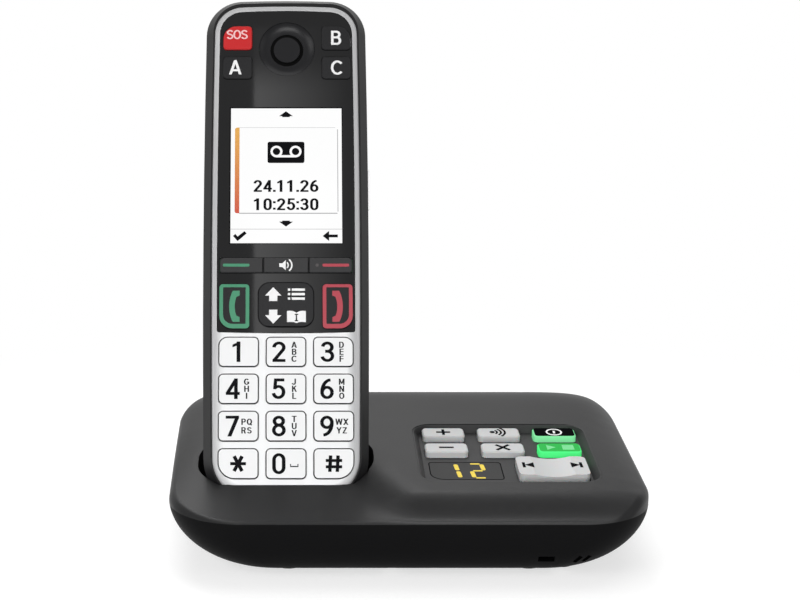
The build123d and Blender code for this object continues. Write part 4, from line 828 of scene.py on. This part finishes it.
# the navigation rocker carries four signs: up, down, list and open book
NAV_X = (-4.35, 3.55)  # of the left and of the right signs
NAV_Y = (3.6, -4.2)  # of the upper and of the lower signs
ROW_PITCH = 1.55
arrow = [(-2.8, -0.5), (0, 2.4), (2.8, -0.5), (1.4, -0.5), (1.4, -2.4), (-1.4, -2.4), (-1.4, -0.5)]
rows = []
for row in (ROW_PITCH, 0.0, -ROW_PITCH):
    rows += [plate((-2.5, row), (0.8, 0.8)), plate((0.65, row), (4.5, 0.85))]
book = [(-3.2, 1.95), (-2.2, 2.05), (-1.1, 1.9), (-0.3, 1.5), (0, 1.3), (0.3, 1.5), (1.1, 1.9), (2.2, 2.05),
        (3.2, 1.95), (3.2, -1.9), (1.9, -1.8), (0.7, -1.9), (0.35, -2.15), (-0.35, -2.15), (-0.7, -1.9),
        (-1.9, -1.8), (-3.2, -1.9)]
spine = [(-0.6, 1.0), (0.6, 1.0), (0.6, 0.6), (0.24, 0.6), (0.24, -1.2), (0.6, -1.2),
         (0.6, -1.6), (-0.6, -1.6), (-0.6, -1.2), (-0.24, -1.2), (-0.24, 0.6), (-0.6, 0.6)]
nav_signs = moved([arrow], NAV_X[0], NAV_Y[0])
nav_signs += [[(x, NAV_Y[0] + NAV_Y[1] - y) for x, y in outline] for outline in nav_signs]
nav_signs += moved(rows, NAV_X[1], NAV_Y[0]) + moved([book, spine], NAV_X[1], NAV_Y[1])
front_sign("nav_signs", "nav_key", nav_signs, white_ink)

# --------------------------------------------------------------------- keypad
# Twelve silver-white caps stand a hair above the silver face, each in a thin
# dark gap, with a bold black figure and its small dark letters.
keypad_white = moulded("keypad_white", (0.80, 0.803, 0.806), 0.34, drift=0.05, uneven=0.1, pitch=0.15 * mm,
                       lift=0.003 * mm)
letter_ink = printing_ink("letter_ink", (0.008, 0.008, 0.009), 0.5, drift=0.3, shine=0.2)
CAP_FRONT = (0.80, 0.97)  # how far the walls and the front of a cap face outward
# the walls and rounded edges of each cap are painted dark: painted shade for the thin gap round the key
bare_walls(keypad_white, grain_colour(keypad_white), CAP_FRONT)
FIGURE_X = {0: -2.4, 1: -0.05, 2: -2.4, 3: -2.0, 4: -1.9, 5: -2.5, 6: -2.2, 7: -2.0, 8: -2.4, 9: -2.3}
LETTER_HEIGHT, LETTER_STEP = 2.1, 6.6
LETTER_X = 2.75
LETTER_PASSES = (LETTER_X - 0.07, LETTER_X + 0.07)  # printed twice, side by side
LETTER_PITCH = {2: 2.9, 3: 2.4}  # by the number of rows
KEYPAD_LETTERS = {
    2: ("A", "B", "C"), 3: ("D", "E", "F"), 4: ("G", "H", "I"), 5: ("J", "K", "L"),
    6: ("M", "N", "O"), 7: ("PQ", "RS"), 8: ("T", "U", "V"), 9: ("WX", "YZ"),
}


def keypad_sign(name, key, outlines, ink=black_ink):
    front_sign(name, key, outlines, ink, united=True)


for number in range(10):
    key = f"key_{number}"
    clothe(keypad_white, key)
    keypad_sign(f"{key}_figure", key, moved(characters[str(number)], FIGURE_X[number], 0))
    rows = KEYPAD_LETTERS.get(number, ())
    for place, letters in enumerate(rows):
        height = LETTER_PITCH[len(rows)] * ((len(rows) - 1) / 2 - place)
        bold = []
        for x in LETTER_PASSES:
            bold += written(letters, (x, height), LETTER_HEIGHT, LETTER_STEP)
        keypad_sign(f"{key}_letter_{place + 1}", key, bold, letter_ink)
clothe(keypad_white, "key_star", "key_hash")
SPACE_HALF, SPACE_FOOT, SPACE_TOP, SPACE_LEVEL = 1.25, -0.35, 0.5, -0.6
SPACE_PEN = (0.17, 0.17)
space = []
for x in (-SPACE_HALF, SPACE_HALF):
    space += strip([(x, SPACE_TOP), (x, SPACE_FOOT)], SPACE_PEN)
space.append(plate((0, SPACE_FOOT), (2 * (SPACE_HALF + SPACE_PEN[0]), 0.36)))
keypad_sign("key_0_space", "key_0", moved(space, LETTER_X, SPACE_LEVEL), letter_ink)
star = [plate((0, 0), (5.3, 1.05))] + [turned(plate((0, 0), (5.7, 1.2)), turn) for turn in (62, -62)]
keypad_sign("key_star_sign", "key_star", star)
HASH_REACH, HASH_LEAN = 2.75, 0.15  # half the height of its uprights, and half their lean
hash_bars = [plate((0, level), (5.5, 1.0)) for level in (1.05, -1.05)]
for x in (-1.25, 1.25):
    hash_bars += strip([(x - HASH_LEAN, -HASH_REACH), (x + HASH_LEAN, HASH_REACH)], (0.58, 0.5))
keypad_sign("key_hash_sign", "key_hash", hash_bars)

# --------------------------------------------------------------------- screen
# A backlit liquid-crystal screen behind the lens: a white page with a card, the
# sign of the tape recorder, two lines of figures and the signs of the soft keys.
# The lens is opaque here, so all of it is laid on the lens in thin lit films.
SCREEN_SIZE = (38.8, 48.5)
DIFFUSER_GRAIN = 0.4 * mm


def screen_light(name, colour):
    """A colour that the backlight shows, slightly uneven as the diffuser leaves it."""
    material = moulded(name, (0.03, 0.03, 0.03), 0.15, drift=0.05, uneven=0.02, lift=0.0005 * mm, shine=0.2)
    values = {"Colour": (*colour, 1), "Drift": 0.05, "Grain per metre": 1 / DIFFUSER_GRAIN}
    light_up(material, placed(material.node_tree, moulding_grain, values).outputs["Colour"])
    return material


screen_white = screen_light("screen_white", (1.02, 1.02, 1.02))
screen_black = moulded("screen_black", (0.007, 0.007, 0.008), 0.4, drift=0.2, lift=0.0005 * mm, shine=0.0)
screen_grey = screen_light("screen_grey", (0.40, 0.40, 0.41))
clothe(screen_white, "display_module")
module_low, module_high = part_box("display_module")
lens_seat = seat("handset_lens", UP, OUT)
module_middle = (module_low + module_high) / 2
screen = lens_seat @ Matrix.Translation((0, UP.dot(module_middle - lens_seat.translation), 0))
screen.translation.x = module_middle.x
sign("screen_picture", [plate((0, 0), SCREEN_SIZE)], screen, screen_white, "handset")
on_screen = screen @ Matrix.Translation((0, 0, INK))


def screen_sign(name, outlines, ink=screen_black, united=False):
    sign(name, outlines, on_screen, ink, "handset", united)


up_arrow = [(-2.4, -0.75), (0, 1.0), (2.4, -0.75), (1.3, -0.75), (1.3, -1.1), (-1.3, -1.1), (-1.3, -0.75)]
UPPER_ARROW, LOWER_ARROW = 21.9, -17.3
down_arrow = [(x, LOWER_ARROW - y) for x, y in up_arrow]
screen_sign("screen_arrows", moved([up_arrow], 0, UPPER_ARROW) + [down_arrow])

# the card: its fine grey edges end short of its round corners
CARD_MIDDLE, CARD_SIZE, CARD_ROUND = (0.2, 1.7), (35.4, 30.6), 0.8
FOOT_LINE, SIDE_LINE, TOP_LINE, SOFT_KEY_LINE = 0.34, 0.26, 0.1, 0.16
FOOT_SHIFT, SIDE_SHORTER = 0.6, 1.2  # the foot clears the coloured bar, and the side ends short
SOFT_KEY_LEVEL = -19.2
card_right = CARD_MIDDLE[0] + CARD_SIZE[0] / 2
card_top, card_foot = CARD_MIDDLE[1] + CARD_SIZE[1] / 2, CARD_MIDDLE[1] - CARD_SIZE[1] / 2
edge_length = CARD_SIZE[0] - 2 * CARD_ROUND
screen_sign("screen_lines", [
    plate((0, SOFT_KEY_LEVEL), (SCREEN_SIZE[0], SOFT_KEY_LINE)),
    plate((CARD_MIDDLE[0] + FOOT_SHIFT, card_foot), (edge_length, FOOT_LINE)),
    plate((card_right, CARD_MIDDLE[1]), (SIDE_LINE, CARD_SIZE[1] - SIDE_SHORTER)),
    plate((CARD_MIDDLE[0], card_top), (edge_length, TOP_LINE)),
], screen_grey)
GASKET_OUTER, GASKET_INNER, GASKET_SHIFT = 0.3, 0.4, 0.1
gasket = [plate((0, 0), [side + GASKET_OUTER for side in SCREEN_SIZE])]
gasket.append(plate((GASKET_SHIFT, -GASKET_SHIFT), [side - GASKET_INNER for side in SCREEN_SIZE]))
screen_sign("screen_gasket", gasket)
TAPE_LEVEL, TAPE_SIZE, TAPE_ROUND = 8.1, (12.8, 7.6), 0.7
screen_sign("screen_tape", [plate((0, TAPE_LEVEL), TAPE_SIZE, (TAPE_ROUND,) * 4)])
SCREEN_FIGURE = 4.2
SCREEN_PASSES = (-0.1, 0.1)  # drawn twice, side by side, for a bolder figure
for name, text, level in (("screen_date", "24.11.26", -3.9), ("screen_time", "10:25:30", -10.4)):
    bold = []
    for x in SCREEN_PASSES:
        bold += written(text, (x, level), SCREEN_FIGURE)
    screen_sign(name, bold, united=True)
tick = [(-18.2, -21.6), (-17.4, -20.9), (-16.6, -21.8), (-14.3, -19.9), (-13.5, -20.7), (-16.6, -23.4)]
back_arrow = [(12.6, -21.6), (14.8, -19.8), (14.8, -21.1), (17.8, -21.1), (17.8, -22.1), (14.8, -22.1),
              (14.8, -23.4)]
screen_sign("screen_soft_signs", [tick, back_arrow])
on_screen = on_screen @ Matrix.Translation((0, 0, INK))
REEL_X, REEL_Y, REEL_RADIUS, REEL_HUB = 3.3, 8.4, 2.1, 1.3
REEL_MIDDLE, REEL_WIDTH = (REEL_RADIUS + REEL_HUB) / 2, REEL_RADIUS - REEL_HUB
reels = [band((side * REEL_X, REEL_Y), REEL_MIDDLE, REEL_WIDTH, 0, 359.9) for side in (-1, 1)]
reels.append(plate((0, REEL_Y - REEL_MIDDLE), (2 * REEL_X, REEL_WIDTH)))
screen_sign("screen_reels", reels, screen_white, united=True)

# the coloured bar at the card's edge fades from orange to red
BAR_X, BAR_WIDTH = -16.9, 1.6
BAR_FADE = 15 * mm  # from the bar's middle to where each colour is full
bar_light = bpy.data.materials.new("bar_light")
bar_light.use_nodes = True
tree = bar_light.node_tree
height = measured(tree, "DOT_PRODUCT", object_place(tree), UP)
bar_middle = UP.dot(on_screen.translation) + CARD_MIDDLE[1] * mm
fade = ranged(tree, height, (bar_middle - BAR_FADE, bar_middle + BAR_FADE))
sunset = mixed(tree, fade, (0.45, 0.05, 0.02), (0.58, 0.30, 0.05))
tree.links.new(sunset, shader_inputs(bar_light)["Base Color"])
shader_inputs(bar_light)["Roughness"].default_value = 0.2
light_up(bar_light, sunset, 0.15)
bar = plate((BAR_X, CARD_MIDDLE[1]), (BAR_WIDTH, CARD_SIZE[1]), (BAR_WIDTH / 2, 0, 0, BAR_WIDTH / 2))
sign("screen_bar", [bar], on_screen, bar_light, "handset")
